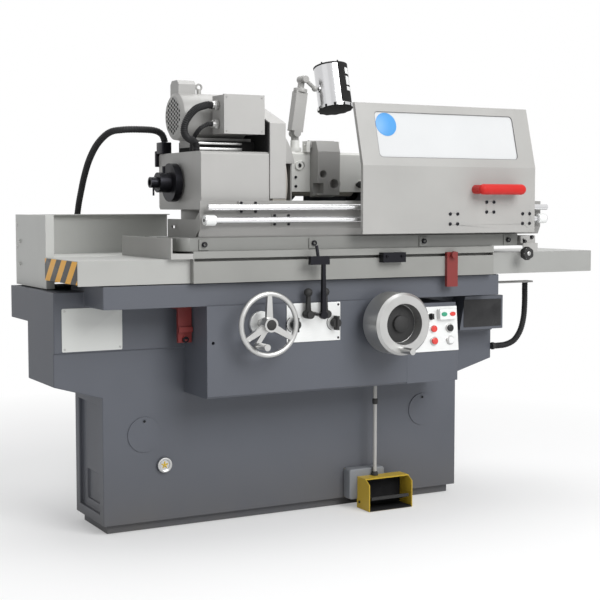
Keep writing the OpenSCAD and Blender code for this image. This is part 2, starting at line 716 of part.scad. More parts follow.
module table_handwheel() color([0.80, 0.80, 0.79]) {
    wheel_y = apron_front - 62;
    rim_r = table_wheel_d / 2 - rim_d / 2;
    grip_r = 0.8 * rim_r;
    translate([table_wheel[0], 0, table_wheel[1]]) {
        rod_y(wheel_y + 8, apron_front - wheel_y + 22, shaft_d);
        rod_y(wheel_y - 18, 36, 44);
        translate([0, wheel_y, 0]) rotate([90, 0, 0])
            rotate_extrude($fn = 96) translate([rim_r, 0]) circle(d = rim_d, $fn = 24);
        for (a = [90, 210, 330]) rotate([0, -a, 0]) along_y(wheel_y - 6, 12)
            polygon([[15, -11], [rim_r, -7], [rim_r, 7], [15, 11]]);
        rotate([0, -235, 0]) translate([grip_r, 0, 0]) {
            rod_y(wheel_y - 20, 22, 18);
            rod_y(wheel_y - 74, 56, 20);
        }
        rotate([0, -235, 0]) along_y(wheel_y - 5, 10)
            polygon([[15, -7], [grip_r, -7], [grip_r, 7], [15, 7]]);
    }
}
module infeed_handwheel() color([0.78, 0.78, 0.77]) {
    ring_y = apron_front - 130;
    ring_t = 22;
    r = infeed_wheel_d / 2;
    translate([infeed_wheel[0], 0, infeed_wheel[1]]) {
        rod_y(ring_y + ring_t, apron_front - ring_y - ring_t + 30, shaft_d);
        translate([0, ring_y, 0]) rotate([-90, 0, 0]) rotate_extrude($fn = 96) polygon([
            [0.66 * r, 0], [0.92 * r, 0], [r, 0.4 * ring_t], [r, 4 * ring_t],
            [0.9 * r, 4.4 * ring_t], [0.2 * r, 4.4 * ring_t], [0.2 * r, 2.2 * ring_t],
            [0.62 * r, 1.6 * ring_t]]);
        rod_y(ring_y + 0.9 * ring_t, 2 * ring_t, 0.46 * r);
        rotate([0, -265, 0]) translate([0.82 * r, 0, 0]) rod_y(ring_y - 58, 60, 20);
    }
}
module upper_table() color([0.74, 0.75, 0.74]) {
    nose = 30;
    difference() {
        union() {
            block([upper_left + nose, upper_front, upper_z], [upper_right, upper_back, upper_top]);
            block([upper_left, upper_front + nose, upper_z],
                [upper_left + nose + over, upper_back, upper_top]);
            translate([upper_left + nose, upper_front + nose, upper_z])
                cylinder(h = upper_h, r = nose);
            translate([swivel_x, swivel_y, table_top - upper_h + pass_gap])
                cylinder(h = upper_h + over, d = pivot_d);
        }
        // T-slot along the middle of the top
        block([upper_left - over, axis_y - 7, upper_top - 24], [upper_right + over, axis_y + 7, upper_top + over]);
        block([upper_left - over, axis_y - 12, upper_top - 24], [upper_right + over, axis_y + 12, upper_top - 13]);
    }
    // Clamp pads with their screws along the front
    for (share = [0.06, 0.36, 0.69, 0.965]) {
        x = upper_left + share * upper_len;
        block([x - 16, upper_front - 4, upper_z + 3], [x + 16, upper_front + over, upper_top - 5]);
        front_screw(x, upper_front - 4, upper_z + upper_h / 2, 14);
    }
}
// Sheet carrier in front of the upper table, with the two guide rails
carrier_left = upper_left + 60;
guard_left = upper_left + 0.473 * upper_len;
rail_len = guard_left - carrier_left + guard_w + rail_spare;
carrier_right = carrier_left + rail_len + 22;
carrier_top = upper_top + 110;
carrier_y = upper_front - 6;
rail_y = carrier_y - 26;
rail_z = [upper_top + 52, upper_top + 90];
module rail_carrier() color([0.76, 0.77, 0.76]) {
    bend = 25;
    post_w = 8;
    plate_w = 62;
    along_x(carrier_left, carrier_right - carrier_left) polygon([
        [carrier_y, carrier_top], [carrier_y, upper_top + bend],
        [carrier_y + bend / 2, upper_top], [carrier_y + 3 * bend, upper_top],
        [carrier_y + 3 * bend, upper_top + sheet_t],
        [carrier_y + bend / 2 + sheet_t, upper_top + sheet_t],
        [carrier_y + 2 * sheet_t, upper_top + bend], [carrier_y + 2 * sheet_t, carrier_top]]);
    // Gusset at the left end
    difference() {
        along_x(carrier_left, 2 * sheet_t) polygon([[carrier_y + 2 * sheet_t, upper_top + bend],
            [carrier_y + 3 * bend / 2, upper_top],
            [upper_back - 40, upper_top], [upper_back - 40, upper_top + 54],
            [carrier_y + 34, upper_top + 54], [carrier_y + 2 * sheet_t, upper_top + 76]]);
        block([carrier_left - over, upper_back - 120, upper_top + 26],
            [carrier_left + 3 * sheet_t, upper_back - 72, upper_top + 34]);
    }
    // Posts that carry the rails, each on its plate
    for (p = [[0.125, 1], [0.215, 0], [0.86, 1], [0.93, 0]]) {
        x = carrier_left + p[0] * rail_len;
        z = rail_z[p[1]];
        block([x - plate_w / 2, carrier_y - sheet_t, z - 17], [x + plate_w / 2, carrier_y, z + 17]);
        block([x - plate_w / 2, rail_y + 0.35 * rail_d, z - post_w / 2],
            [x + plate_w / 2, carrier_y, z + post_w / 2]);
        for (sx = [-1, 1], sz = [-1, 1])
            front_screw(x + sx * plate_w / 2.6, carrier_y - sheet_t, z + 12 * sz, 7);
    }
}
module guide_rails() color([0.86, 0.87, 0.88]) {
    cap_d = 31;
    cap_t = 34;
    difference() {
        translate([0, rail_y, rail_z[1]]) rod_x(carrier_left + 14, rail_len + 12, rail_d);
        rail_flats(1);
    }
    difference() {
        translate([0, rail_y, rail_z[0]]) rod_x(carrier_left + 6, rail_len + 14, rail_d);
        rail_flats(0);
    }
    for (x = [carrier_left + 2, carrier_left + rail_len + 20 - cap_t])
        translate([0, rail_y, rail_z[0]]) rod_x(x, cap_t, cap_d);
}
// Flats on the back of a rail, where the posts seat
module rail_flats(row) {
    plate_w = 62;
    for (p = [[0.125, 1], [0.215, 0], [0.86, 1], [0.93, 0]]) if (p[1] == row)
        block([carrier_left + p[0] * rail_len - plate_w / 2, rail_y + 0.35 * rail_d,
                rail_z[row] - rail_d],
            [carrier_left + p[0] * rail_len + plate_w / 2, rail_y + rail_d, rail_z[row] + rail_d]);
}
// Workhead
head_left = upper_left + 74;
head_front = table_front + 26;
head_back = head_front + head_depth;
head_low = upper_top + 0.5 * centre_h;
head_top = head_low + head_h;
belt_left = head_left + head_len;
belt_w = 54;
module workhead_base() color([0.72, 0.73, 0.72]) {
    base_d = 190;
    block([head_left + 18, carrier_y + 92, upper_top],
        [belt_left + 20, upper_back - 20, upper_top + 34]);
    translate([head_left + head_len / 2, axis_y, upper_top + 34 - over])
        cylinder(h = head_low - upper_top - 34 + over - slide_gap, d = base_d);
}
module workhead_housing() color([0.73, 0.74, 0.73]) {
    edge = 7;
    difference() {
        union() {
            along_x(head_left, head_len) polygon([
                [head_front + edge, head_low], [head_back - edge, head_low],
                [head_back, head_low + edge], [head_back, head_top - edge],
                [head_back - edge, head_top], [head_front + edge, head_top],
                [head_front, head_top - edge], [head_front, head_low + edge]]);
            translate([0, axis_y, axis_z]) rod_x(belt_left - over, belt_w + 6, spindle_d + 34);
        }
        translate([0, axis_y, axis_z])
            rod_x(head_left - over, head_len + belt_w + 8, spindle_d + 2 * fit);
        // Slot over the swivel scale
        block([belt_left - 92, head_front - over, head_low - over],
            [belt_left - 44, head_front + edge, head_low + 9]);
    }
}
motor_z = head_top + 110;
motor_left = head_left - 14;
module workhead_motor() color([0.76, 0.77, 0.76]) {
    r = motor_d / 2;
    body_len = head_len + 8;
    cowl = 62;
    translate([motor_left, axis_y, motor_z]) rotate([0, 90, 0]) difference() {
        rotate_extrude($fn = 64) polygon([[0, 0], [0.82 * r, 0], [0.97 * r, 0.12 * cowl], [r, 0.4 * cowl],
            [r, cowl], [0.95 * r, cowl + 4], [0.95 * r, body_len - 12], [0.8 * r, body_len],
            [0, body_len]]);
        for (i = [-4 : 4], k = [-4 : 4]) if (norm([i * 13 + (k % 2) * 6.5, k * 12]) < 0.72 * r)
            translate([i * 13 + (k % 2) * 6.5, k * 12, -over]) cylinder(h = 8 + over, d = 8, $fn = 16);
    }
    // Foot plate on the slide rails, lead box and lifting eye
    block([motor_left + 46, axis_y - 0.8 * r, head_top + 16], [belt_left - 6, axis_y + 0.8 * r, motor_z - 0.9 * r]);
    for (x = [motor_left + 56, belt_left - 44])
        block([x, axis_y - r, head_top], [x + 28, axis_y + r, head_top + 16]);
    along_x(motor_left + 6, 56) polygon([[axis_y - 30, motor_z + 0.8 * r], [axis_y + 34, motor_z + 0.8 * r],
        [axis_y + 34, motor_z + r + 22], [axis_y + 22, motor_z + r + 34], [axis_y - 18, motor_z + r + 34],
        [axis_y - 30, motor_z + r + 22]]);
    translate([motor_left + 86, axis_y, motor_z + 0.9 * r]) {
        cylinder(h = 18, d = 14);
        translate([0, 0, 24]) rotate([90, 0, 0]) rotate_extrude($fn = 32)
            translate([9, 0]) circle(d = 6, $fn = 16);
    }
}
box_left = head_left + 82;
box_right = box_left + 132;
box_front = axis_y - 156;
box_back = axis_y - 0.99 * motor_d / 2 - 5;
box_low = motor_z - 56;
box_top = motor_z + 58;
gland_y = (box_front + box_back) / 2;
gland_z = [box_low + 28, box_top - 30];
module motor_terminal_box() color([0.78, 0.79, 0.78]) {
    block([box_left, box_front, box_low], [box_right, box_back, box_top]);
    block([box_left - 1.5, box_front - 8, box_low - 1.5], [box_right + 1.5, box_front, box_top + 1.5]);
    for (sx = [0, 1], sz = [0, 1])
        front_screw(box_left + 7 + sx * (box_right - box_left - 14), box_front - 8,
            box_low + 7 + sz * (box_top - box_low - 14), 5);
    difference() {
        block([box_left + 24, box_back - over, motor_z - 32], [box_right - 30, axis_y - 0.2 * motor_d, motor_z + 32]);
        translate([0, axis_y, motor_z]) rod_x(box_left, box_right - box_left, motor_d);
    }
    for (z = gland_z) translate([box_left - 20, gland_y, z]) rotate([0, 90, 0]) {
        cylinder(h = 22, d = 22);
        translate([0, 0, 8]) cylinder(h = 9, d = 28, $fn = 6);
    }
}
module belt_guard() color([0.75, 0.76, 0.75]) {
    low = head_low + 33;
    top = head_top + 160;
    wall = 4;
    difference() {
        along_x(belt_left + slide_gap, belt_w) polygon([[head_front - 4, low], [head_back - 20, low],
            [head_back - 20, top - 90], [axis_y + 74, top], [axis_y + 10, top],
            [head_front - 4, top - 72]]);
        along_x(belt_left + wall, belt_w - 2 * wall) polygon([[head_front, low + wall],
            [head_back - 24, low + wall], [head_back - 24, top - 92], [axis_y + 72, top - wall],
            [axis_y + 12, top - wall], [head_front, top - 75]]);
        translate([0, axis_y, axis_z]) rod_x(belt_left - over, belt_w + 2 * over + 2, spindle_d + 34 + 2 * fit);
    }
}
// Hoses from the terminal box into the top of the workhead
upper_route = [[box_left - 20, gland_y, gland_z[1]], [-338, gland_y, gland_z[1]],
    [-347, gland_y, gland_z[1]], [-390, -646, 1283], [-420, -650, 1250], [-424, -640, 1220],
    [-408, -626, 1200], [-383, -619, 1190], [-376, -618, 1178], [-376, -618, 1169],
    [-376, -618, 1160]];
lower_route = [[box_left - 20, gland_y, gland_z[0]], [-336, gland_y, gland_z[0]],
    [-343, gland_y, gland_z[0]], [-366, -626, 1228], [-372, -600, 1207], [-372, -582, 1188],
    [-372, -577, 1176], [-372, -577, 1168], [-372, -577, 1160]];
module motor_hose() color([0.05, 0.05, 0.05]) {
    smooth = hose_path(upper_route, head_top, 6);
    tube(smooth, [for (i = [0 : len(smooth) - 1])
        i < 2 || i > len(smooth) - 3 ? 10 : (i % 2 == 0 ? 11.5 : 9.5)], 8);
}
module signal_hose() color([0.05, 0.05, 0.05]) {
    smooth = hose_path(lower_route, head_top, 4);
    tube(smooth, [for (p = smooth) 7], 8);
}
// The route with its end laid on the top of the workhead
function hose_path(route, end_z, n) = let(last = route[len(route) - 1])
    curve([for (i = [0 : len(route) - 1]) i < len(route) - 1 ? route[i] : [last[0], last[1], end_z]], n);
rear_route = [[-384, -396, 1196], [-394, -396, 1220], [-420, -398, 1232], [-470, -398, 1234],
    [-522, -388, 1232], [-552, -350, 1224], [-565, -280, 1192], [-564, -200, 1146],
    [-557, -128, 1094], [-549, -70, 1044], [-545, -30, 996], [-546, -12, 936],
    [conduit_box[0], conduit_box[1], 870]];
module rear_conduit() color([0.05, 0.05, 0.05]) {
    smooth = curve(rear_route, 2);
    tube(smooth, [for (p = smooth) 11], 10);
    // Elbow block on the back of the workhead, and the end fitting
    block([-400, -414, head_top], [-370, head_back + 12, head_top + 34]);
    block([-400, head_back, head_top - 40], [-370, head_back + 12, head_top]);
    translate([conduit_box[0], conduit_box[1], 836]) cylinder(h = 36, d = 30);
}
module work_spindle() color([0.08, 0.08, 0.08]) {
    nose_x = belt_left + belt_w + 10;
    flange = 117;
    difference() {
        translate([0, axis_y, axis_z]) {
            rod_x(head_left - 30, nose_x - head_left + 30, spindle_d);
            rod_x(head_left - 30, 22, flange);
            rod_x(head_left - 68, 40, 0.52 * flange);
            rod_x(head_left - 92, 26, 0.28 * flange);
            rod_x(nose_x - 2, 16, 108);
            // Driving pin
            translate([0, 0, 44]) rod_x(nose_x + 12, 26, 10);
            translate([head_left - 46, 0, 0.2 * flange]) cylinder(h = 26, d = 9);
            translate([head_left - 80, 0, -0.34 * flange]) cylinder(h = 30, d = 6);
        }
        translate([0, axis_y, axis_z]) {
            rod_x(head_left - 92 - over, nose_x - head_left + 92 + 2 * over, spindle_bore_d);
            rod_x(nose_x - 60, 60 + 14 + over, 31);
        }
    }
}
module centre_point(x, dir, d, len) {
    translate([x, axis_y, axis_z]) rotate([0, 90 * dir, 0]) {
        translate([0, 0, -40]) cylinder(h = 40 + len - 0.9 * d, d = d);
        translate([0, 0, len - 0.9 * d]) cylinder(h = 0.87 * d, d1 = d, d2 = 0.02 * d);
    }
}
module work_centre() color([0.85, 0.85, 0.86])
    centre_point(belt_left + belt_w + 24, 1, 31 - 2 * fit, 46);
// Sliding guard
guard_y = rail_y - 34;
guard_low = upper_top + 7;
fold_z = guard_low + guard_low_h;
guard_top = fold_z + guard_high_h;
lean_angle = atan(guard_lean / guard_high_h);
lean_h = norm([guard_lean, guard_high_h]);
module guard_section() {
    polygon([[guard_y, guard_low], [guard_y + sheet_t, guard_low],
        [guard_y + sheet_t, fold_z], [guard_y + sheet_t + guard_lean, guard_top],
        [guard_y + guard_lean, guard_top], [guard_y, fold_z]]);
}
// Frame of the leaning panel: x from its left edge, z up along the sheet
module on_lean(x, z) {
    translate([guard_left, guard_y, fold_z]) rotate([-lean_angle, 0, 0]) translate([x, 0, z]) children();
}
window_w = 0.805 * guard_w;
window_h = 0.76 * guard_high_h;
module sliding_guard() color([0.76, 0.77, 0.76]) {
    lip = 14;
    difference() {
        union() {
            along_x(guard_left, guard_w) guard_section();
            for (x = [guard_left, guard_left + guard_w - sheet_t])
                along_x(x, sheet_t) polygon([[guard_y, guard_low], [guard_y + lip, guard_low],
                    [guard_y + lip, fold_z], [guard_y + lip + guard_lean, guard_top],
                    [guard_y + guard_lean, guard_top], [guard_y, fold_z]]);
            block([guard_left, guard_y + guard_lean, guard_top - sheet_t],
                [guard_left + guard_w, guard_y + guard_lean + lip, guard_top]);
        }
        on_lean(guard_w / 2, lean_h / 2) along_y(-over, sheet_t + 3 * over)
            round_rect(window_w, window_h, 14);
        for (s = slider_shares) translate([guard_left + s[0] * guard_w, 0, rail_z[s[1]]])
            for (sx = [-1, 1], sz = [-1, 1]) translate([13 * sx, 0, 15 * sz])
                rod_y(guard_y - over, sheet_t + 2 * over, 7);
    }
}
// Pane behind the opening, held by its rim
module guard_window() color([0.90, 0.92, 0.92]) {
    on_lean(guard_w / 2, lean_h / 2) along_y(sheet_t * cos(lean_angle) + slide_gap, sheet_t)
        round_rect(window_w + 24, window_h + 14, 18);
}
module guard_handle() color([0.80, 0.12, 0.09]) {
    x0 = guard_left + 0.61 * guard_w;
    len = 0.275 * guard_w;
    z = fold_z - 0.34 * guard_low_h;
    d = 34;
    out = 44;
    translate([0, guard_y - out, z]) rod_x(x0 + d / 2, len - d, d);
    for (x = [x0 + d / 2, x0 + len - d / 2]) {
        translate([x, guard_y - out, z]) sphere(d = d, $fn = 32);
        translate([x, 0, z]) rod_y(guard_y - out, out, d - 5);
    }
}
// Slider blocks on the rails: share of the guard's width, and the rail
slider_shares = [[0.51, 0], [0.725, 1], [0.945, 0]];
module guard_sliders() color([0.25, 0.25, 0.26]) {
    slider_w = 46;
    for (s = slider_shares) translate([guard_left + s[0] * guard_w, 0, rail_z[s[1]]]) difference() {
        union() {
            block([-slider_w / 2, guard_y + sheet_t, -17],
                [slider_w / 2, rail_y + 0.2 * rail_d, 17]);
            for (sx = [-1, 1], sz = [-1, 1]) translate([13 * sx, 0, 15 * sz])
                rod_y(guard_y - 2, sheet_t + 2, 6.6);
        }
        translate([0, rail_y, 0]) rod_x(-slider_w, 2 * slider_w, rail_d + 2 * fit);
    }
}
// Tailstock
tail_left = upper_left + 0.852 * upper_len;
tail_len = 150;
tail_d = 54;
quill_out = 60;
module tailstock_body() color([0.73, 0.74, 0.73]) {
    half = 70;
    difference() {
        union() {
            along_x(tail_left, tail_len) polygon([[axis_y - half, upper_top + slide_gap],
                [axis_y + half, upper_top + slide_gap],
                [axis_y + half, upper_top + 34], [axis_y + 0.72 * half, upper_top + 0.4 * centre_h],
                [axis_y + 0.6 * half, axis_z + 0.5 * half], [axis_y + 0.3 * half, axis_z + 0.72 * half],
                [axis_y - 0.3 * half, axis_z + 0.72 * half], [axis_y - 0.6 * half, axis_z + 0.5 * half],
                [axis_y - 0.72 * half, upper_top + 0.4 * centre_h], [axis_y - half, upper_top + 34]]);
            translate([tail_left + 0.7 * tail_len, axis_y - 20, axis_z])
                cylinder(h = 0.72 * half + 12, d = 36);
        }
        translate([0, axis_y, axis_z]) rod_x(tail_left - over, tail_len + 2 * over, tail_d + 2 * fit);
        translate([tail_left + 0.7 * tail_len, axis_y - 20, axis_z + 0.6 * half])
            cylinder(h = half, d = 14 + 2 * fit);
    }
    // Nuts of the two clamp bolts
    for (s = [0.2, 0.8]) translate([tail_left + s * tail_len, axis_y - 0.86 * half, upper_top + 34])
        cylinder(h = 12, d = 20, $fn = 6);
}
module tail_quill() color([0.85, 0.85, 0.86]) {
    difference() {
        translate([0, axis_y, axis_z]) rod_x(tail_left - quill_out, tail_len + quill_out - 6, tail_d);
        translate([0, axis_y, axis_z]) rod_x(tail_left - quill_out - over, 40, 31);
    }
    centre_point(tail_left - quill_out + 0.5, -1, 31, 46);
}
module tail_lever() color([0.07, 0.07, 0.07]) {
    half = 70;
    arm = 170;
    top = axis_z + 0.72 * half + 12;
    translate([tail_left + 0.7 * tail_len, axis_y - 20, 0]) {
        translate([0, 0, axis_z + 0.62 * half]) cylinder(h = top - axis_z - 0.62 * half + 14, d = 14);
        translate([0, 0, top + slide_gap]) cylinder(h = 14, d = 34);
        rotate([0, 0, -35]) translate([0, 0, top + 7 + slide_gap]) {
            rod_x(10, arm, 11);
            rod_x(arm - 4, 46, 24);
        }
    }
}
// Wheelhead
wheel_x = -5;
wheel_axis_y = axis_y + wheel_gap + wheel_d / 2;
slide_z = rear_top + way_h;
slide_h = 196;
body_low = axis_z - 24;
body_top = body_low + 132;
body_left = 62;
body_right = 372;
body_front = axis_y + 116;
body_back = body_front + 470;
turret_x = 386;
module wheelhead_slide() color([0.40, 0.42, 0.46]) {
    left = rear_mid - 166;
    slide_front = wheel_axis_y + 20;
    difference() {
        union() {
            block([left, slide_front, rear_top + pass_gap],
                [left + 400, body_back + 190, slide_z + slide_h]);
            translate([turret_x - 30, slide_front + 110, slide_z + slide_h - over])
                cylinder(h = body_low - slide_z - slide_h + over, d = 190);
        }
        for (side = [-1, 1]) translate([rear_mid + side * infeed_way_gap / 2, 0, rear_top]) {
            along_y(slide_front - over, body_back + 190 - slide_front + 2 * over)
                v_way(way_w + 2 * fit, way_h + fit);
        }
        // Flat on the pedestal, past which the belt cover hangs
        block([body_right - pass_gap, slide_front, slide_z + slide_h],
            [left + 400, body_back, body_low + over]);
    }
}
wheel_bore = 76;
module wheelhead_housing() color([0.72, 0.73, 0.72]) {
    difference() {
        union() {
            along_x(body_left, body_right - body_left) polygon([[body_front, body_low],
                [body_back, body_low], [body_back, body_top - 30], [body_back - 60, body_top],
                [body_front + 8, body_top], [body_front, body_top - 8]]);
            translate([0, wheel_axis_y, axis_z]) rod_x(wheel_x + wheel_guard_w / 2,
                body_left + over - wheel_x - wheel_guard_w / 2, wheel_bore + 50);
        }
        translate([0, wheel_axis_y, axis_z])
            rod_x(wheel_x, body_right - wheel_x + over, wheel_bore + 2 * fit);
        translate([body_left + 30, 0, axis_z + 62]) rod_y(body_front - over, 26, 12);
    }
    // Ring of the filler, clamp knob and scale plate on the front
    translate([body_left + 30, 0, axis_z + 62]) difference() {
        rod_y(body_front - 6, 6, 30);
        rod_y(body_front - 7, 8, 16);
    }
    translate([body_right - 40, 0, axis_z + 6]) {
        rod_y(body_front - 20, 20, 22);
        rotate([0, 24, 0]) translate([0, body_front - 14, 0]) cylinder(h = 32, d = 5);
    }
    // Lugs and pin of the internal grinding bracket
    for (x = [bracket_x - 14, bracket_x + bracket_w + 1])
        block([x, hinge_y + 4 - 15, body_top - over], [x + 13, hinge_y + 4 + 15, hinge_z + 13]);
    translate([0, hinge_y + 4, hinge_z]) rod_x(bracket_x - 18, bracket_w + 36, 12 - 2 * fit);
    // Foot of the lamp
    translate([lamp_x, lamp_y, body_top]) {
        cylinder(h = 14, d = 44);
        translate([0, 0, 14]) cylinder(h = 24, d = 30);
    }
}
lamp_x = 92;
lamp_y = -372;
module wheel_guard() color([0.74, 0.75, 0.74]) {
    r = wheel_d / 2 + 15;
    wall = 6;
    mouth = 66;
    difference() {
        union() {
            translate([0, wheel_axis_y, axis_z])
                rod_x(wheel_x - wheel_guard_w / 2, wheel_guard_w, 2 * r);
            block([wheel_x - wheel_guard_w / 2, wheel_axis_y, slide_z + slide_h + 3 * pass_gap],
                [wheel_x + wheel_guard_w / 2, wheel_axis_y + r, axis_z]);
        }
        translate([0, wheel_axis_y, axis_z])
            rod_x(wheel_x - wheel_guard_w / 2 + wall, wheel_guard_w - 2 * wall, 2 * (r - wall));
        translate([0, wheel_axis_y, axis_z])
            rod_x(wheel_x - wheel_guard_w, 2 * wheel_guard_w, wheel_bore + 20);
        // Mouth towards the work
        block([wheel_x - wheel_guard_w, wheel_axis_y - r - over, axis_z - mouth],
            [wheel_x + wheel_guard_w, wheel_axis_y - 0.84 * r, axis_z + mouth]);
        block([wheel_x - wheel_guard_w, wheel_axis_y - r - over, slide_z],
            [wheel_x + wheel_guard_w, wheel_axis_y - 91, slide_z + slide_h + 3 * pass_gap]);
    }
    // Round lid on the outer side with its screws
    translate([wheel_x - wheel_guard_w / 2 - sheet_t, wheel_axis_y, axis_z]) rotate([0, 90, 0])
        difference() {
            cylinder(h = sheet_t, d = 1.5 * r);
            translate([0, 0, -over]) cylinder(h = sheet_t + 2 * over, d = wheel_bore + 20);
        }
}
module wheel_motor() color([0.40, 0.42, 0.46]) {
    d = 170;
    y = body_back + 100;
    z = axis_z + 27;
    translate([body_right - 264, y, z]) rotate([0, 90, 0]) difference() {
        rotate_extrude($fn = 64) polygon([[0, 0], [0.4 * d, 0], [d / 2, 20], [d / 2, 70], [0.47 * d, 76],
            [0.47 * d, 250], [0.38 * d, 262], [0, 262]]);
        for (i = [0 : 23]) rotate([0, 0, 15 * i]) translate([0.44 * d, 0, 84]) cylinder(h = 150, d = 10, $fn = 16);
    }
    for (x = [body_left + 110, body_left + 220])
        block([x, y - 70, slide_z + slide_h], [x + 34, y + 70, z - 0.4 * d]);
    // Belt cover on the right side of the wheelhead
    difference() {
        along_x(body_right, 60) polygon([[wheel_axis_y - 70, axis_z - 56], [wheel_axis_y + 60, axis_z - 56],
            [y - 40, z - 50], [y + 50, z - 50], [y + 70, z - 30], [y + 70, z + 50], [y + 40, z + 72],
            [y - 60, z + 72], [wheel_axis_y - 70, axis_z + 62]]);
        translate([0, wheel_axis_y, axis_z]) rod_x(body_right, 40, wheel_bore + 30);
    }
}
module grinding_wheel() color([0.82, 0.80, 0.76]) {
    hub = 1.5 * wheel_bore;
    translate([0, wheel_axis_y, axis_z]) {
        difference() {
            rod_x(wheel_x - wheel_w / 2, wheel_w, wheel_d);
            rod_x(wheel_x - wheel_w, 2 * wheel_w, wheel_bore - 10);
        }
        // Flanges, spindle and nose nut
        for (x = [wheel_x - wheel_w / 2 - 12, wheel_x + wheel_w / 2]) rod_x(x, 12, hub);
        rod_x(wheel_x - wheel_w / 2 - 34, 34, 0.6 * hub);
        rod_x(wheel_x - wheel_w / 2 - 4, wheel_x + body_right - wheel_x + 22, wheel_bore);
    }
}
// Swing-down bracket for the internal grinding spindle
hinge_z = body_top + 22;
hinge_y = body_front - 4;
bracket_x = body_left + 66;
bracket_w = 96;
module internal_bracket() color([0.66, 0.67, 0.66]) {
    x0 = bracket_x;
    w = bracket_w;
    y = body_front - 30;
    difference() {
        union() {
            along_x(x0 + 6, w - 12) polygon([[hinge_y + 12, hinge_z - 14], [hinge_y + 12, hinge_z + 12],
                [y - 12, hinge_z + 12], [y - 26, hinge_z - 22], [y - 22, axis_z - 36],
                [body_front - pass_gap, axis_z - 42], [body_front - pass_gap, body_top + pass_gap],
                [hinge_y, body_top + pass_gap]]);
            translate([0, hinge_y + 4, hinge_z]) rod_x(x0, w, 32);
            for (p = [[0.28, 34, 40], [0.72, 2, 46]])
                translate([x0 + p[0] * w, 0, axis_z + p[1]]) rod_y(y - 24, 26, p[2]);
        }
        for (p = [[0.28, 34, 26], [0.72, 2, 32]])
            translate([x0 + p[0] * w, 0, axis_z + p[1]]) rod_y(y - 25, 40, p[2]);
        translate([0, hinge_y + 4, hinge_z]) rod_x(x0 - over, w + 2 * over, 12);
        block([x0 - over, y - 60, axis_z - 30], [x0 + 0.3 * w, y + 10, axis_z + 4]);
    }
}
// Work lamp
joint_z = body_top + 62;
elbow = [118, -388, 1416];
lamp_pivot = [155, -420, 1386];
module lamp_lower_arm() color([0.74, 0.75, 0.74]) {
    translate([lamp_x, lamp_y, body_top + 38 + slide_gap]) cylinder(h = 20, d = 26);
    translate([lamp_x, lamp_y, joint_z]) rod_y(-20, 40, 26);
    lean = [elbow[0] - lamp_x, elbow[2] - joint_z];
    translate([lamp_x, lamp_y, joint_z]) rotate([0, atan2(lean[0], lean[1]), 0]) {
        block([-21, -16, 6], [21, 16, norm(lean) - 42]);
        translate([0, 0, norm(lean) - 42 - over]) cylinder(h = 12, d = 46);
        translate([0, 0, norm(lean) - 32]) cylinder(h = 26, d = 22);
    }
    translate([elbow[0], lamp_y, elbow[2]]) rod_y(-12, 24, 26);
}
module lamp_upper_arm() color([0.74, 0.75, 0.74]) {
    y = lamp_y - 13 - slide_gap;
    reach = [lamp_pivot[0] - elbow[0], lamp_pivot[2] - elbow[2]];
    translate([elbow[0], 0, elbow[2]]) {
        rod_y_between(y - 18, y, 22);
        translate([0, y - 9, 0]) rotate([0, atan2(reach[0], reach[1]), 0])
            cylinder(h = norm(reach) - 8, d = 13);
    }
    translate([elbow[0] + reach[0], y - 9, elbow[2] + reach[1]]) sphere(d = 20, $fn = 32);
}
module rod_y_between(y0, y1, d) {
    rod_y(y0, y1 - y0, d);
}
head_pin = [elbow[0] + (lamp_pivot[0] - elbow[0]), lamp_y - 22 - slide_gap, lamp_pivot[2]];
shade_d = 112;
shade_h = 142;
shade_tilt = 14;
module lamp_head() color([0.82, 0.83, 0.84]) {
    translate([head_pin[0], head_pin[1], head_pin[2]]) rotate([-shade_tilt, 0, 0])
        translate([shade_d / 2 + 14, 0, 0.14 * shade_h]) difference() {
            union() {
                translate([0, 0, -0.58 * shade_h]) cylinder(h = shade_h, d = shade_d, $fn = 64);
                translate([0, 0, -0.58 * shade_h - 7]) cylinder(h = 10, d = shade_d + 8, $fn = 64);
                translate([0, 0, -0.14 * shade_h]) rod_x(-shade_d / 2 - 3, 6, 26);
            }
            translate([0, 0, -0.58 * shade_h - 8]) cylinder(h = shade_h - 14, d = shade_d - 8, $fn = 64);
        }
}

bed_casting();
front_fittings();
apron();
console_box();
console_panel();
control_plate();
side_console();
travel_lock_left();
foot_switch_guard();
coolant_hose();
lower_table();
table_cover_left();
table_cover_right();
splash_guard();
coolant_trough();
travel_lock_right();
swivel_bracket();
table_handwheel();
infeed_handwheel();
upper_table();
rail_carrier();
guide_rails();
workhead_base();
workhead_housing();
workhead_motor();
motor_terminal_box();
belt_guard();
motor_hose();
signal_hose();
rear_conduit();
work_spindle();
work_centre();
sliding_guard();
guard_window();
guard_handle();
guard_sliders();
tailstock_body();
tail_quill();
tail_lever();
trip_dog();
wheelhead_slide();
wheelhead_housing();
wheel_guard();
wheel_motor();
grinding_wheel();
internal_bracket();
lamp_lower_arm();
lamp_upper_arm();
lamp_head();
reverse_lever();
start_lever();
stop_lever();
speed_knob();
dwell_knob();
selector_left();
selector_right();
green_button_upper();
red_button_upper();
foot_pedal();
side_lever();
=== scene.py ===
"""Dresses the cylindrical grinder: finishes on its castings, and their trim, screws and hoses.

All places are in millimetres in the part's own frame until a mesh is made. +X runs along the
table to the operator's right, +Y to the back and +Z up.
"""

import logging
import math
from collections.abc import Callable
from dataclasses import dataclass, field
from enum import Enum
from typing import ClassVar

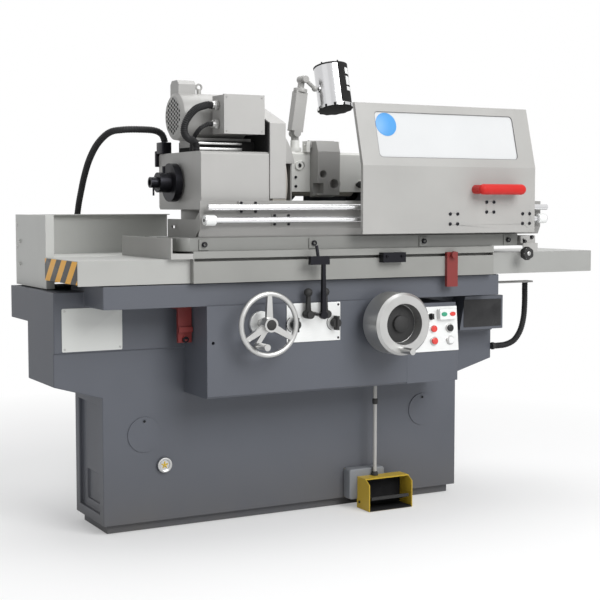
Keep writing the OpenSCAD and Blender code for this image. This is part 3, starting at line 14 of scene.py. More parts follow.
import bmesh
import bpy
import numpy as np
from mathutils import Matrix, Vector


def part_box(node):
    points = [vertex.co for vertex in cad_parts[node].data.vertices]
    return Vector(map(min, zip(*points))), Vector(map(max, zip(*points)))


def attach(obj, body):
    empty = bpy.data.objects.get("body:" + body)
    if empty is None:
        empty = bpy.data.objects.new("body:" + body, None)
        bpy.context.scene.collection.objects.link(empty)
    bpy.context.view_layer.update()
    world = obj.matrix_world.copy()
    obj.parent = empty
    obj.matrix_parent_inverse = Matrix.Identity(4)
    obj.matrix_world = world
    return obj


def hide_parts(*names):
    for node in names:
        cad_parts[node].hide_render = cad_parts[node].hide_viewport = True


# A place, a colour or a scale, and a place in a plane or a span
Triple = tuple[float, float, float]
Pair = tuple[float, float]

LOG = logging.getLogger("grinder")
MM = 0.001
TAU = 2 * math.pi
# Doubles closer than this are merged: in new meshes, and in CAD nodes before their bevel (metres)
SAME_PLACE, WELD_DISTANCE = 1e-6, 0.00002
# Edges over these angles in degrees: drawn sharp on new meshes, bevelled on CAD nodes
SHARP_ANGLE, BEVEL_ANGLE = 32.0, 40.0
# Places that several sub-assemblies share, in millimetres
UPPER_LEFT, UPPER_LEN = -466.1, 1230.0
UPPER_RIGHT = UPPER_LEFT + UPPER_LEN
TABLE_TOP, TABLE_FRONT, UPPER_Z = 864.0, -715.0, 864.4
SLOT_Z = 838.6
CARRIER_LEFT, CARRIER_Y, RAIL_LEN = UPPER_LEFT + 60, -711.0, 1240.0
RAIL_Y, RAIL_Z = -737.0, (955.4, 993.4)
HEAD_LEFT = UPPER_LEFT + 74
GLAND_Y, GLAND_Z = -632.6, (1241.9, 1297.9)
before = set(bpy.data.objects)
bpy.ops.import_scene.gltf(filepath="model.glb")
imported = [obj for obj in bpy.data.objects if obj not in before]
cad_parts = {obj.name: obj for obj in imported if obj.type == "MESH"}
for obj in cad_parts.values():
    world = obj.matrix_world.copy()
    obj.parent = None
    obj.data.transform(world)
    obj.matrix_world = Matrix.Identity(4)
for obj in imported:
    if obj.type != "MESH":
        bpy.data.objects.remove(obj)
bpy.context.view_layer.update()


class Axis(Enum):
    """Direction that a turned or drawn shape points in, as its third axis."""

    X = (1, 2, 0)
    Y = (2, 0, 1)
    Z = (0, 1, 2)

    def place(self, first: np.ndarray, second: np.ndarray, along: np.ndarray) -> np.ndarray:
        """Stacks two sideways coordinates and one along the axis into points.

        Args:
            first: coordinate on the axis that follows this one.
            second: coordinate on the axis after that.
            along: coordinate on this axis.

        Returns:
            Points, with x, y and z on the last axis of the array.
        """
        parts = np.broadcast_arrays(first, second, along)
        points = np.empty(parts[0].shape + (3,))
        for column, values in zip(self.value, parts):
            points[..., column] = values
        return points


# --------------------------------------------------------------------------- shader maths
def operator(name: str, swapped: bool = False) -> "Callable[[Signal, Signal | float], Signal]":
    """Makes a method of Signal that adds one Math node.

    Args:
        name: the node's operation, such as ADD.
        swapped: whether the other value comes first.

    Returns:
        The method.
    """

    def method(self: "Signal", other: "Signal | float") -> "Signal":
        """The operation on this value and the other one."""
        pair = (other, self) if swapped else (self, other)
        return self.graph.make("ShaderNodeMath", {"operation": name}, dict(enumerate(pair)))

    return method


class Signal:
    """A value in a shader. Python arithmetic on it adds the Math nodes."""

    def __init__(self, graph: "Graph", socket: bpy.types.NodeSocket) -> None:
        """Wraps one output socket of a graph."""
        self.graph = graph
        self.socket = socket

    __add__ = __radd__ = operator("ADD")
    __sub__ = operator("SUBTRACT")
    __rsub__ = operator("SUBTRACT", swapped=True)
    __mul__ = __rmul__ = operator("MULTIPLY")
    __truediv__ = operator("DIVIDE")
    __gt__ = operator("GREATER_THAN")
    # Remainder after whole periods, and the larger and the smaller of two values
    wrap = operator("FLOORED_MODULO")
    at_least = operator("MAXIMUM")
    at_most = operator("MINIMUM")

    def clamp(self) -> "Signal":
        """Value kept from 0 to 1."""
        return self.at_least(0.0).at_most(1.0)


class Graph:
    """The node tree of one material, or of the world."""

    def __init__(self, owner: bpy.types.ID) -> None:
        """Empties the node tree of a new material or world."""
        self.owner = owner
        owner.use_nodes = True
        self.tree = owner.node_tree
        self.tree.nodes.clear()

    def make(
        self,
        kind: str,
        settings: dict[str, object] | None = None,
        inputs: dict[int | str, object] | None = None,
        output: int | str = 0,
    ) -> Signal:
        """Adds any node.

        Args:
            kind: the node's type.
            settings: its properties, and "stops" for a ramp: (place, colour) pairs.
            inputs: values, or Signals to link, by socket name or number.
            output: the socket that is wanted.

        Returns:
            That output of the new node.
        """
        node = self.tree.nodes.new(kind)
        for key, value in (settings or {}).items():
            if key == "stops":
                elements = node.color_ramp.elements
                while len(elements) < len(value):
                    elements.new(0.5)
                for element, (place, colour) in zip(elements, value):
                    element.position, element.color = place, (*colour, 1.0)
            else:
                setattr(node, key, value)
        for key, value in (inputs or {}).items():
            if isinstance(value, Signal):
                self.tree.links.new(value.socket, node.inputs[key])
            else:
                node.inputs[key].default_value = value
        return Signal(self, node.outputs[output])

    def coordinates(self, scale: Triple = (1, 1, 1)) -> Signal:
        """Object coordinates in metres, stretched by the scale."""
        raw = self.make("ShaderNodeTexCoord", output="Object")
        return self.make("ShaderNodeMapping", {}, {"Vector": raw, "Scale": scale})

    def along(self, axis: int) -> Signal:
        """One object coordinate in metres: 0 for x, 1 for y, 2 for z."""
        raw = self.make("ShaderNodeTexCoord", output="Object")
        return self.make("ShaderNodeSeparateXYZ", {}, {0: raw}, output=axis)

    def noise(
        self, scale: float, stretch: Triple = (1, 1, 1), detail: float = 4.0
    ) -> Signal:
        """Cloudy noise from 0 to 1 over object coordinates.

        Args:
            scale: cells per metre.
            stretch: factor on each axis.
            detail: number of finer layers.

        Returns:
            The noise's value.
        """
        inputs = {"Vector": self.coordinates(stretch), "Scale": scale, "Detail": detail}
        return self.make("ShaderNodeTexNoise", {}, inputs)

    def blend(self, share: Signal | float, first: object, second: object) -> Signal:
        """Colour between two colours.

        Args:
            share: 0 for the first and 1 for the second.
            first: a colour or a Signal.
            second: a colour or a Signal.

        Returns:
            The mixed colour.
        """
        pair = [c if isinstance(c, Signal) else (*c, 1.0) for c in (first, second)]
        return self.make(
            "ShaderNodeMix", {"data_type": "RGBA"}, {0: share, 6: pair[0], 7: pair[1]}, output=2
        )

    def bump(self, height: Signal, strength: float, distance: float) -> Signal:
        """Bent normal from a height.

        Args:
            height: the relief, from 0 to 1.
            strength: how much of it shows.
            distance: its full height in metres.

        Returns:
            The normal.
        """
        inputs = {"Height": height, "Strength": strength, "Distance": distance}
        return self.make("ShaderNodeBump", {}, inputs)

    def surface(self, inputs: dict[str, object]) -> bpy.types.ID:
        """Ends the tree in a Principled BSDF with these inputs and returns the material."""
        return self.end(self.make("ShaderNodeBsdfPrincipled", {}, inputs))

    def end(self, shader: Signal, kind: str = "ShaderNodeOutputMaterial") -> bpy.types.ID:
        """Links the last shader to the output node and returns the tree's owner."""
        out = self.tree.nodes.new(kind)
        self.tree.links.new(shader.socket, out.inputs[0])
        return self.owner


# --------------------------------------------------------------------------- finishes
# Colour of the dirt streaks and of the darkening towards the floor, the height in metres that the
# darkening reaches, and depths of relief in metres
DARK_TONE, LOW_DARKENING_HEIGHT = (0.10, 0.09, 0.075), 0.35
PEEL_DEPTH, SCRATCH_DEPTH, PEBBLE_DEPTH, HAZE_DEPTH = 0.0006, 0.0002, 0.0003, 0.001


@dataclass(frozen=True)
class Coating:
    """What every finish has: its material's name, its colour and its slot."""

    name: str
    colour: Triple
    slot: str

    def tinted(self, factor: float) -> Triple:
        """The colour multiplied by a factor, up to 1."""
        return tuple(min(1.0, factor * c) for c in self.colour)

    def build(self) -> bpy.types.ID:
        """Makes the material."""
        return self.paint(Graph(bpy.data.materials.new(self.name)))

    def paint(self, g: Graph) -> bpy.types.ID:
        """Draws the finish in a new material's graph and returns the material."""
        raise NotImplementedError


@dataclass(frozen=True)
class Enamel(Coating):
    """Sprayed machine enamel: faint orange peel, cloudy gloss, and darker towards the floor."""

    roughness: float = 0.42
    peel: float = 0.10
    low_darkening: float = 0.0

    def paint(self, g: Graph) -> bpy.types.ID:
        """Draws the finish in a new material's graph and returns the material."""
        cloud = g.noise(5.0, detail=5)
        streak = g.noise(14.0, (1, 1, 0.16), 3)
        tone = g.blend((cloud * 1.6 - 0.3).clamp(), self.tinted(0.90), self.tinted(1.05))
        tone = g.blend(((streak - 0.56) * 2.2).clamp() * 0.10, tone, DARK_TONE)
        # Darker towards the floor, by the given share and mottled by the cloud
        if self.low_darkening:
            low = (1.0 - g.along(2) / LOW_DARKENING_HEIGHT).clamp()
            tone = g.blend(low * low * self.low_darkening * cloud * 1.6, tone, DARK_TONE)
        rough = cloud * 0.14 + (self.roughness - 0.07)
        peel = g.noise(420.0, detail=2) * 0.7 + g.noise(90.0, detail=2) * 0.3
        return g.surface({
            "Base Color": tone,
            "Roughness": rough,
            "Normal": g.bump(peel, self.peel, PEEL_DEPTH),
            "IOR": 1.48,
        })


@dataclass(frozen=True)
class Steel(Coating):
    """Bare metal with fine scratches drawn along one axis."""

    stretch: Triple = (0.04, 1, 1)
    roughness: float = 0.30
    metallic: float = 1.0
    scratch: float = 0.25

    def paint(self, g: Graph) -> bpy.types.ID:
        """Draws the finish in a new material's graph and returns the material."""
        grain = g.noise(900.0, self.stretch, 3)
        cloud = g.noise(18.0, detail=4)
        share = (grain * 0.6 + cloud * 0.6 - 0.1).clamp()
        tone = g.blend(share, self.tinted(0.82), self.colour)
        return g.surface({
            "Base Color": tone,
            "Roughness": grain * 0.16 + cloud * 0.12 + (self.roughness - 0.14),
            "Metallic": self.metallic,
            "Normal": g.bump(grain, self.scratch, SCRATCH_DEPTH),
        })


@dataclass(frozen=True)
class Moulding(Coating):
    """Moulded plastic or rubber with a fine pebble."""

    roughness: float = 0.45
    pebble: float = 0.12
    scale: float = 700.0
    coat: float = 0.0
    specular: float = 0.5

    def paint(self, g: Graph) -> bpy.types.ID:
        """Draws the finish in a new material's graph and returns the material."""
        pebble = g.noise(self.scale, detail=2)
        cloud = g.noise(22.0, detail=4)
        dust = tuple(min(1.0, c + 0.02) for c in self.colour)
        return g.surface({
            "Base Color": g.blend(cloud, self.colour, dust),
            "Roughness": cloud * 0.2 + (self.roughness - 0.1),
            "Coat Weight": self.coat,
            "Specular IOR Level": self.specular,
            "Normal": g.bump(pebble, self.pebble, PEBBLE_DEPTH),
        })


@dataclass(frozen=True)
class FrostedPane(Coating):
    """The guard's window: milky clear plastic that shows nothing sharp behind it."""

    opacity: float = 0.86

    def paint(self, g: Graph) -> bpy.types.ID:
        """Draws the finish in a new material's graph and returns the material."""
        haze = g.noise(6.0, detail=4)
        return g.surface({
            "Base Color": g.blend(haze * 0.4, self.colour, self.tinted(1.08)),
            "Roughness": haze * 0.1 + 0.12,
            "Alpha": haze * 0.05 + self.opacity,
            "Normal": g.bump(haze, 0.05, HAZE_DEPTH),
        })


@dataclass(frozen=True)
class HazardStripes(Coating):
    """Slanting warning stripes in orange and black."""

    pitch: float = 0.095

    def paint(self, g: Graph) -> bpy.types.ID:
        """Draws the finish in a new material's graph and returns the material."""
        slant = g.along(1) + g.along(2)
        stripe = slant.wrap(self.pitch) > 0.5 * self.pitch
        wear = (g.noise(60.0, detail=5) - 0.5) * 0.16
        ink = g.blend(wear.clamp(), (0.03, 0.03, 0.03), (0.3, 0.3, 0.3))
        return g.surface({
            "Base Color": g.blend(stripe, ink, self.colour),
            "Roughness": g.noise(30.0) * 0.2 + 0.32,
            "Normal": g.bump(g.noise(300.0, detail=2), 0.06, PEBBLE_DEPTH),
        })


class Finish(Enum):
    """Every finish of the machine, as a sprayer or a fitter would name it, and lighter and darker
    copies of the light enamel that are painted light and painted shade.
    """

    BED = Enamel("bed_enamel", (0.086, 0.093, 0.111), "bed_paint", 0.48, 0.16, 0.5)
    LIGHT = Enamel("light_enamel", (0.385, 0.380, 0.368), "light_paint", 0.40, 0.08)
    # Darker copies of the light enamel for the lower table and the upper table, whose fronts lie
    # under the guard: painted shade
    TABLE = Enamel("table_enamel_painted_shade", (0.265, 0.266, 0.252), "light_paint", 0.42, 0.08)
    UPPER = Enamel("upper_table_painted_shade", (0.205, 0.207, 0.196), "light_paint", 0.42, 0.08)
    CARRIER = Enamel("carrier_enamel", (0.29, 0.286, 0.276), "light_paint", 0.42, 0.08)
    COVER = Enamel("cover_enamel", (0.39, 0.392, 0.376), "light_paint", 0.40, 0.08)
    # Darker copy of the cover enamel for the right cover: painted shade
    FAR_COVER = Enamel("right_cover_enamel_painted_shade", (0.32, 0.322, 0.310), "light_paint", 0.40, 0.08)
    # Lighter copies of the light enamel for the splash guard and the wheelhead housing, which lie
    # in shade: painted light
    SPLASH = Enamel("splash_enamel_painted_light", (0.50, 0.505, 0.485), "light_paint", 0.40, 0.08)
    HOUSING = Enamel("wheelhead_enamel_painted_light", (0.76, 0.76, 0.73), "light_paint", 0.42, 0.10)
    DOOR = Enamel("guard_enamel", (0.370, 0.366, 0.353), "light_paint", 0.36, 0.05)
    RED = Enamel("travel_lock_red", (0.19, 0.022, 0.020), "red_paint", 0.42, 0.10)
    YELLOW = Enamel("foot_guard_yellow", (0.56, 0.38, 0.035), "yellow_paint", 0.40, 0.12)
    GRAY_BOX = Enamel("switch_box_gray", (0.19, 0.20, 0.215), "light_paint", 0.45, 0.10)
    BRUSHED = Steel("ground_steel", (0.56, 0.56, 0.55), "machined_steel")
    TURNED = Steel("turned_steel", (0.60, 0.60, 0.59), "machined_steel", (1, 1, 1), 0.30)
    CHROME = Steel("hard_chrome", (0.78, 0.78, 0.79), "chrome", (0.04, 1, 1), 0.16, 1.0, 0.05)
    SHADE = Steel("lamp_chrome", (0.66, 0.66, 0.67), "chrome", (1, 1, 0.05), 0.20, 1.0, 0.12)
    WHEEL = Steel("cast_aluminium", (0.56, 0.56, 0.55), "cast_handwheel", (1, 1, 1), 0.36, 0.9, 0.3)
    PANEL = Steel("panel_silver", (0.84, 0.85, 0.84), "control_silver", (0.05, 1, 1), 0.40, 0.70)
    BLACKED = Steel("black_oxide", (0.03, 0.03, 0.033), "black_oxide", (1, 1, 1), 0.42, 0.6)
    BLACK = Moulding("black_plastic", (0.010, 0.010, 0.011), "black_plastic", 0.42, specular=0.3)
    GLOSS_BLACK = Moulding("gloss_black", (0.008, 0.008, 0.009), "black_plastic", 0.24, 0.04,
                           specular=0.4)
    # Matt black for the lamp's trim; also painted shade in the lamp's mouth, under the workhead's
    # motor and in the gap by its belt guard
    LAMP_BLACK = Moulding("lamp_black", (0.010, 0.010, 0.010), "black_plastic", 0.70, specular=0.08)
    RUBBER = Moulding("hose_rubber", (0.010, 0.010, 0.011), "black_rubber", 0.55, 0.3, 300.0,
                      specular=0.2)
    # Gray band round the guard's window: painted shade on the opening's edge
    GASKET = Moulding("window_edge_shade", (0.16, 0.16, 0.16), "black_rubber", 0.6, specular=0.2)
    RED_GRIP = Moulding("red_grip", (0.50, 0.016, 0.013), "red_plastic", 0.40, 0.03, 500.0,
                        specular=0.15)
    RED_CAP = Moulding("red_cap", (0.62, 0.03, 0.02), "red_plastic", 0.24, 0.03, 500.0, 0.4)
    GREEN_CAP = Moulding("green_cap", (0.02, 0.30, 0.17), "green_plastic", 0.24, 0.03, 500.0, 0.4)
    WHITE_CAP = Moulding("white_cap", (0.74, 0.75, 0.74), "light_paint", 0.30, 0.04)
    PLATE = Moulding("bare_plate", (0.58, 0.59, 0.57), "light_paint", 0.34, 0.06)
    BLUE = Moulding("blue_disc", (0.055, 0.27, 0.60), "light_paint", 0.40, 0.04)
    STONE = Moulding("open_grain", (0.50, 0.47, 0.42), "abrasive", 0.85, 1.0, 900.0)
    # Flat black for printed marks, and for painted shade in holes and hollows
    DARK = Moulding("dark_print_and_painted_shade", (0.008, 0.008, 0.009), "black_plastic", 0.8, 0.0, specular=0.05)
    PANE = FrostedPane("frosted_pane", (0.64, 0.65, 0.655), "window")
    STRIPES = HazardStripes("hazard_stripes", (0.85, 0.42, 0.03), "yellow_paint")

    @property
    def material(self) -> bpy.types.ID:
        """The finish's material, built when it is first asked for."""
        known = bpy.data.materials.get(self.value.name)
        return known or self.value.build()


# --------------------------------------------------------------------------- shapes
@dataclass
class Surface:
    """A mesh as arrays: vertices in millimetres and faces as index lists."""

    vertices: np.ndarray
    faces: list[list[int]]

    def __add__(self, other: "Surface") -> "Surface":
        """Both surfaces in one mesh."""
        shift = len(self.vertices)
        moved = [[i + shift for i in face] for face in other.faces]
        return Surface(np.vstack([self.vertices, other.vertices]), self.faces + moved)

    def moved(self, offset: Triple) -> "Surface":
        """The surface shifted by an offset."""
        return Surface(self.vertices + np.array(offset, float), self.faces)

    def turned(self, axis: Axis, degrees: float) -> "Surface":
        """The surface turned about an axis through the origin, by the right-hand rule."""
        a = math.radians(degrees)
        i, j, _ = axis.value
        v, out = self.vertices, self.vertices.copy()
        out[:, i] = v[:, i] * math.cos(a) - v[:, j] * math.sin(a)
        out[:, j] = v[:, i] * math.sin(a) + v[:, j] * math.cos(a)
        return Surface(out, self.faces)


def grid(points: np.ndarray, capped: bool = True) -> Surface:
    """Skin over rings of points; each ring is closed, and the two ends may be capped.

    Args:
        points: rings by points by xyz.
        capped: whether the first and the last ring are filled.

    Returns:
        The closed surface.
    """
    rings, sides = points.shape[:2]
    index = np.arange(rings * sides).reshape(rings, sides)
    a, b = index[:-1], index[1:]
    quads = np.stack([a, np.roll(a, -1, 1), np.roll(b, -1, 1), b], -1).reshape(-1, 4)
    caps = [index[0, ::-1].tolist(), index[-1].tolist()] if capped else []
    return Surface(points.reshape(-1, 3), quads.tolist() + caps)


def turned_profile(
    profile: list[Pair],
    centre: Triple,
    axis: Axis,
    sides: int = 48,
    waves: int = 0,
    depth: float = 0.0,
) -> Surface:
    """Profile of (radius, distance along the axis) turned round the axis.

    The radius is multiplied by 1 - depth * (0.5 - 0.5 cos(waves * angle)), which flutes the shape.

    Args:
        profile: points from one end to the other; it is capped flat at both ends.
        centre: point on the axis that distances are counted from.
        axis: the axis.
        sides: points round.
        waves: number of flutes.
        depth: depth of the flutes as a share of the radius.

    Returns:
        The closed surface.
    """
    r, h = np.array(profile, float).T
    angle = np.arange(sides) * TAU / sides
    flute = 1 - depth * (0.5 - 0.5 * np.cos(waves * angle))
    radius = np.maximum(r, 1e-3)[:, None] * flute
    points = axis.place(radius * np.cos(angle), radius * np.sin(angle), h[:, None])
    return grid(points + np.array(centre, float))


def rounded_outline(width: float, height: float, radius: float, steps: int = 5) -> np.ndarray:
    """Rectangle about the origin with quarter-circle corners, as points anticlockwise.

    Args:
        width: its full size across.
        height: its full size up.
        radius: radius of its corners.
        steps: points in each corner.

    Returns:
        The points, two numbers each.
    """
    a = np.linspace(0, math.pi / 2, steps)
    corner = np.stack([np.cos(a), np.sin(a)], -1) * radius
    quarter = [(1, 1, 0), (-1, 1, 1), (-1, -1, 2), (1, -1, 3)]
    parts = []
    for sx, sy, turn in quarter:
        c, s = math.cos(turn * math.pi / 2), math.sin(turn * math.pi / 2)
        spun = corner @ np.array([[c, s], [-s, c]])
        parts.append(spun + [sx * (width / 2 - radius), sy * (height / 2 - radius)])
    return np.vstack(parts)


def pad(
    low: Triple,
    high: Triple,
    radius: float,
    axis: Axis = Axis.Y,
    edge: float | None = None,
) -> Surface:
    """Block whose outline has round corners and whose two faces have rounded edges.

    The outline shrinks by edge * (1 - sin t) while the height grows by edge * (1 - cos t), for t
    from 0 to a quarter turn, at both ends.

    Args:
        low: its lowest corner.
        high: its highest corner.
        radius: corner radius of the outline.
        axis: direction that the outline is drawn along.
        edge: radius of the edges of the two faces.

    Returns:
        The closed surface.
    """
    lo, hi = np.array(low, float), np.array(high, float)
    i, j, k = axis.value
    edge = min(1.5, 0.45 * (hi - lo)[k]) if edge is None else edge
    size, middle = hi - lo, (hi + lo) / 2
    radius = min(radius, 0.49 * size[i], 0.49 * size[j])
    t = np.linspace(0, math.pi / 2, 4)
    inset = edge * (1 - np.sin(np.concatenate([t, t[::-1]])))
    rise = edge * (1 - np.cos(t))
    height = np.concatenate([lo[k] + rise, hi[k] - rise[::-1]])
    base = rounded_outline(size[i], size[j], radius)
    shrink = 1 - 2 * inset[:, None] / np.array([size[i], size[j]])
    ring = base[None] * shrink[:, None]
    return grid(axis.place(ring[..., 0] + middle[i], ring[..., 1] + middle[j], height[:, None]))


def outline_rings(
    outline: np.ndarray, growth: list[float], heights: list[float], axis: Axis
) -> np.ndarray:
    """Rings of an outline, each scaled about its middle so that it grows by a width.

    Args:
        outline: points in the two sideways coordinates, anticlockwise.
        growth: how much each ring is wider than the outline, on every side.
        heights: place of each ring along the axis.
        axis: direction across the outline.

    Returns:
        The points of the rings.
    """
    middle, half = (outline.max(0) + outline.min(0)) / 2, (outline.max(0) - outline.min(0)) / 2
    scale = 1 + np.array(growth)[:, None] / half
    ring = (outline - middle)[None] * scale[:, None] + middle
    return axis.place(ring[..., 0], ring[..., 1], np.array(heights)[:, None])


def drawn_outline(outline: np.ndarray, low: float, high: float, axis: Axis) -> Surface:
    """Flat outline drawn along an axis, with a chamfer of one millimetre at both ends.

    Args:
        outline: points in the two sideways coordinates, anticlockwise.
        low: where it starts.
        high: where it ends.
        axis: direction that it is drawn along.

    Returns:
        The closed surface.
    """
    return grid(outline_rings(outline, [-1, 0, 0, -1], [low, low + 1, high - 1, high], axis))


def swept(path: np.ndarray, radius: np.ndarray | float, sides: int = 14) -> Surface:
    """Round section carried along a path.

    Each ring lies across the path's direction, found by central differences, and is set out from a
    fixed direction that the path never runs along.

    Args:
        path: points by xyz.
        radius: one radius, or one for each point.
        sides: points round.

    Returns:
        The closed surface.
    """
    tangent = np.gradient(path, axis=0)
    tangent /= np.linalg.norm(tangent, axis=1, keepdims=True)
    spread = np.abs(tangent).max(0)
    reference = np.eye(3)[int(np.argmin(spread))]
    side = np.cross(tangent, reference)
    side /= np.linalg.norm(side, axis=1, keepdims=True)
    up = np.cross(tangent, side)
    angle = np.arange(sides) * TAU / sides
    r = np.broadcast_to(np.asarray(radius, float), (len(path),))[:, None, None]
    around = side[:, None] * np.cos(angle)[:, None] + up[:, None] * np.sin(angle)[:, None]
    made = grid(path[:, None] + r * around)
    return Surface(made.vertices, [face[::-1] for face in made.faces])


def smooth_path(points: list[Triple], spacing: float) -> np.ndarray:
    """Curve through the points, resampled at an even spacing.

    Between two points it is the cubic 0.5 (2b + (c-a)t + (2a-5b+4c-d)t^2 + (3b-a-3c+d)t^3), the
    same that the hose's solid follows.

    Args:
        points: the points it passes.
        spacing: distance between the new points.

    Returns:
        The curve's points.
    """
    p = np.array(points, float)
    p = np.vstack([p[:1], p, p[-1:]])
    t = np.linspace(0, 1, 24, endpoint=False)[None, :, None]
    a, b, c, d = (p[i : len(p) - 3 + i, None] for i in range(4))
    line = 2 * b + (c - a) * t + (2 * a - 5 * b + 4 * c - d) * t**2
    line = 0.5 * (line + (3 * b - a - 3 * c + d) * t**3)
    line = np.vstack([line.reshape(-1, 3), p[-1:]])
    run = np.concatenate([[0], np.cumsum(np.linalg.norm(np.diff(line, axis=0), axis=1))])
    even = np.linspace(0, run[-1], max(4, int(run[-1] / spacing)))
    return np.stack([np.interp(even, run, line[:, k]) for k in range(3)], -1)


def ribbed(route: list[Triple], spacing: float, radius: float, rib: float) -> Surface:
    """Ribbed hose: its radius is radius + rib * sin, with four points along it to a rib.

    Args:
        route: the points that the hose passes.
        spacing: distance between the points along it.
        radius: its middle radius.
        rib: height of a rib over that.

    Returns:
        The closed surface.
    """
    path = smooth_path(route, spacing)
    return swept(path, radius + rib * np.sin(np.arange(len(path)) * TAU / 4))


def cap_screw(place: Triple, diameter: float) -> Surface:
    """Socket screw whose round head, with a six-sided recess, points to the operator.

    The recess is a ring whose radius is a / cos(angle - nearest flat), which is a hexagon.

    Args:
        place: centre of the face that the head stands on.
        diameter: of the head.

    Returns:
        The closed surface.
    """
    r, h = diameter / 2, 0.5 * diameter
    angle = np.arange(24) * TAU / 24
    flat = 0.5 * r / np.cos((angle + TAU / 12) % (TAU / 6) - TAU / 12)
    one = np.ones(24)
    radii = np.stack([r * one, r * one, 0.86 * r * one, flat, 0.94 * flat, 0.2 * flat])
    along = -np.array([0, 0.86, 1.0, 1.0, 0.45, 0.42]) * h
    points = Axis.Y.place(-radii * np.cos(angle), radii * np.sin(angle), along[:, None])
    return grid(points + np.array(place, float))


def cross_screw(place: Triple, axis: Axis, diameter: float) -> Surface:
    """Low domed screw whose slot is a groove: the dome's height drops where the slot crosses it.

    Args:
        place: centre of the face that the head stands on.
        axis: direction of the screw, whose head points to the low side.
        diameter: of the head.

    Returns:
        The closed surface.
    """
    r = diameter / 2
    angle = np.arange(20) * TAU / 20
    share = np.array([1.0, 1.0, 0.92, 0.7, 0.4, 0.05])[:, None]
    dome = np.array([0.0, 0.16, 0.26, 0.36, 0.42, 0.44])[:, None] * r
    slot_depth = np.where(np.abs(np.sin(angle)) * share < 0.16, 0.25 * r, 0.0)
    height = np.maximum(dome - slot_depth * (dome > 0.2 * r), 0)
    points = axis.place(-share * r * np.cos(angle), share * r * np.sin(angle), -height)
    return grid(points + np.array(place, float))


def curved_strip(
    centre: Triple, radii: Pair, arc: Pair,
    rise: Pair, axis: Axis = Axis.Z,
) -> Surface:
    """Piece of a tube's wall between two angles.

    Its section is the closed outline of the outer arc forwards and the inner arc back.

    Args:
        centre: point on the tube's axis.
        radii: inner and outer radius.
        arc: first and last angle in degrees.
        rise: lowest and highest place along the axis.
        axis: the tube's axis.

    Returns:
        The closed surface.
    """
    angle = np.radians(np.linspace(*arc, 12))
    turn = np.concatenate([angle, angle[::-1]])
    radius = np.repeat([radii[1], radii[0]], 12)
    height = np.array(rise)[:, None]
    points = axis.place(radius * np.cos(turn), radius * np.sin(turn), height)
    return grid(points + np.array(centre, float))


def oval(centre: Pair, width: float, height: float, low: float, high: float) -> Surface:
    """Flat oval button facing the operator, drawn along Y with a small chamfer.

    Its outline is (width/2 cos t, height/2 sin t).

    Args:
        centre: its x and z.
        width: its size across.
        height: its size up.
        low: y of its front.
        high: y of its back.

    Returns:
        The closed surface.
    """
    t = np.arange(32) * TAU / 32
    outline = np.stack([centre[1] + height / 2 * np.cos(t), centre[0] + width / 2 * np.sin(t)], -1)
    return drawn_outline(outline, low, high, Axis.Y)


def hoop(outline: np.ndarray, width: float, low: float, high: float, axis: Axis) -> Surface:
    """Flat band that runs round an outline, on its outer side.

    Its rings are the outline and the outline grown by the width, each low and high; the last ring
    is the first again, so that the skin closes on itself.

    Args:
        outline: points in the two sideways coordinates.
        width: width of the band.
        low: its lowest place along the axis.
        high: its highest place along the axis.
        axis: direction across its flat.

    Returns:
        The closed surface.
    """
    rings = outline_rings(outline, [width, 0, 0, width, width], [high, high, low, low, high], axis)
    return grid(rings, capped=False)


def corners(x: float, z: float, across: float, up: float) -> list[Pair]:
    """Four places about a middle, at half their spacing across and up."""
    return [(x + across * sx, z + up * sz) for sx in (-1, 1) for sz in (-1, 1)]


def joined(*parts: Surface) -> Surface:
    """All the surfaces in one mesh."""
    return sum(parts[1:], parts[0])


@dataclass
class Assembly:
    """One sub-assembly of the machine, whose own pieces ride on one body."""

    body: str
    made: list[str] = field(default_factory=list)
    # Edge radius in millimetres of each CAD node, by its finish
    nodes: ClassVar[dict[Finish, dict[str, float]]] = {}

    def build(self) -> None:
        """Dresses the CAD nodes, then adds the assembly's own pieces."""
        for finish, edges in self.nodes.items():
            for node, edge in edges.items():
                self.dress(node, finish, edge)
        self.trim()

    def trim(self) -> None:
        """Adds the pieces that only the scene has."""

    def add(
        self, name: str, surface: Surface, finish: Finish, replaces: str = "", body: str = ""
    ) -> None:
        """Puts a surface into the scene as a piece of this assembly.

        Args:
            name: the piece's name.
            surface: its mesh, in millimetres.
            finish: its finish.
            replaces: the CAD node that it stands for, if any.
            body: the body it rides on, if not the assembly's own.
        """
        mesh = bpy.data.meshes.new(name)
        mesh.from_pydata((surface.vertices * MM).tolist(), [], surface.faces)
        shell = bmesh.new()
        shell.from_mesh(mesh)
        bmesh.ops.remove_doubles(shell, verts=shell.verts, dist=SAME_PLACE)
        bmesh.ops.recalc_face_normals(shell, faces=shell.faces)
        shell.to_mesh(mesh)
        shell.free()
        mesh.polygons.foreach_set("use_smooth", np.ones(len(mesh.polygons), bool))
        mesh.set_sharp_from_angle(angle=math.radians(SHARP_ANGLE))
        mesh.materials.append(finish.material)
        mesh.validate()
        piece = bpy.data.objects.new(name, mesh)
        bpy.context.scene.collection.objects.link(piece)
        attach(piece, body or self.body)
        if replaces:
            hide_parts(replaces)
        self.made.append(name)

    def dress(self, node: str, finish: Finish, edge: float) -> None:
        """Gives a CAD node its finish, and soft edges where the radius isn't 0.

        Args:
            node: the CAD node.
            finish: its finish.
            edge: radius of its edges in millimetres.
        """
        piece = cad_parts[node]
        piece.data.materials.clear()
        piece.data.materials.append(finish.material)
        if edge:
            weld = piece.modifiers.new("weld", "WELD")
            weld.merge_threshold = WELD_DISTANCE
            soft = piece.modifiers.new("edges", "BEVEL")
            soft.width = edge * MM
            soft.segments = 2
            soft.limit_method = "ANGLE"
            soft.angle_limit = math.radians(BEVEL_ANGLE)
            soft.harden_normals = False
        self.made.append(node)


def box_of(node: str) -> tuple[np.ndarray, np.ndarray]:
    """Lowest and highest corner of a CAD node in millimetres."""
    low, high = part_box(node)
    return np.array(low) / MM, np.array(high) / MM


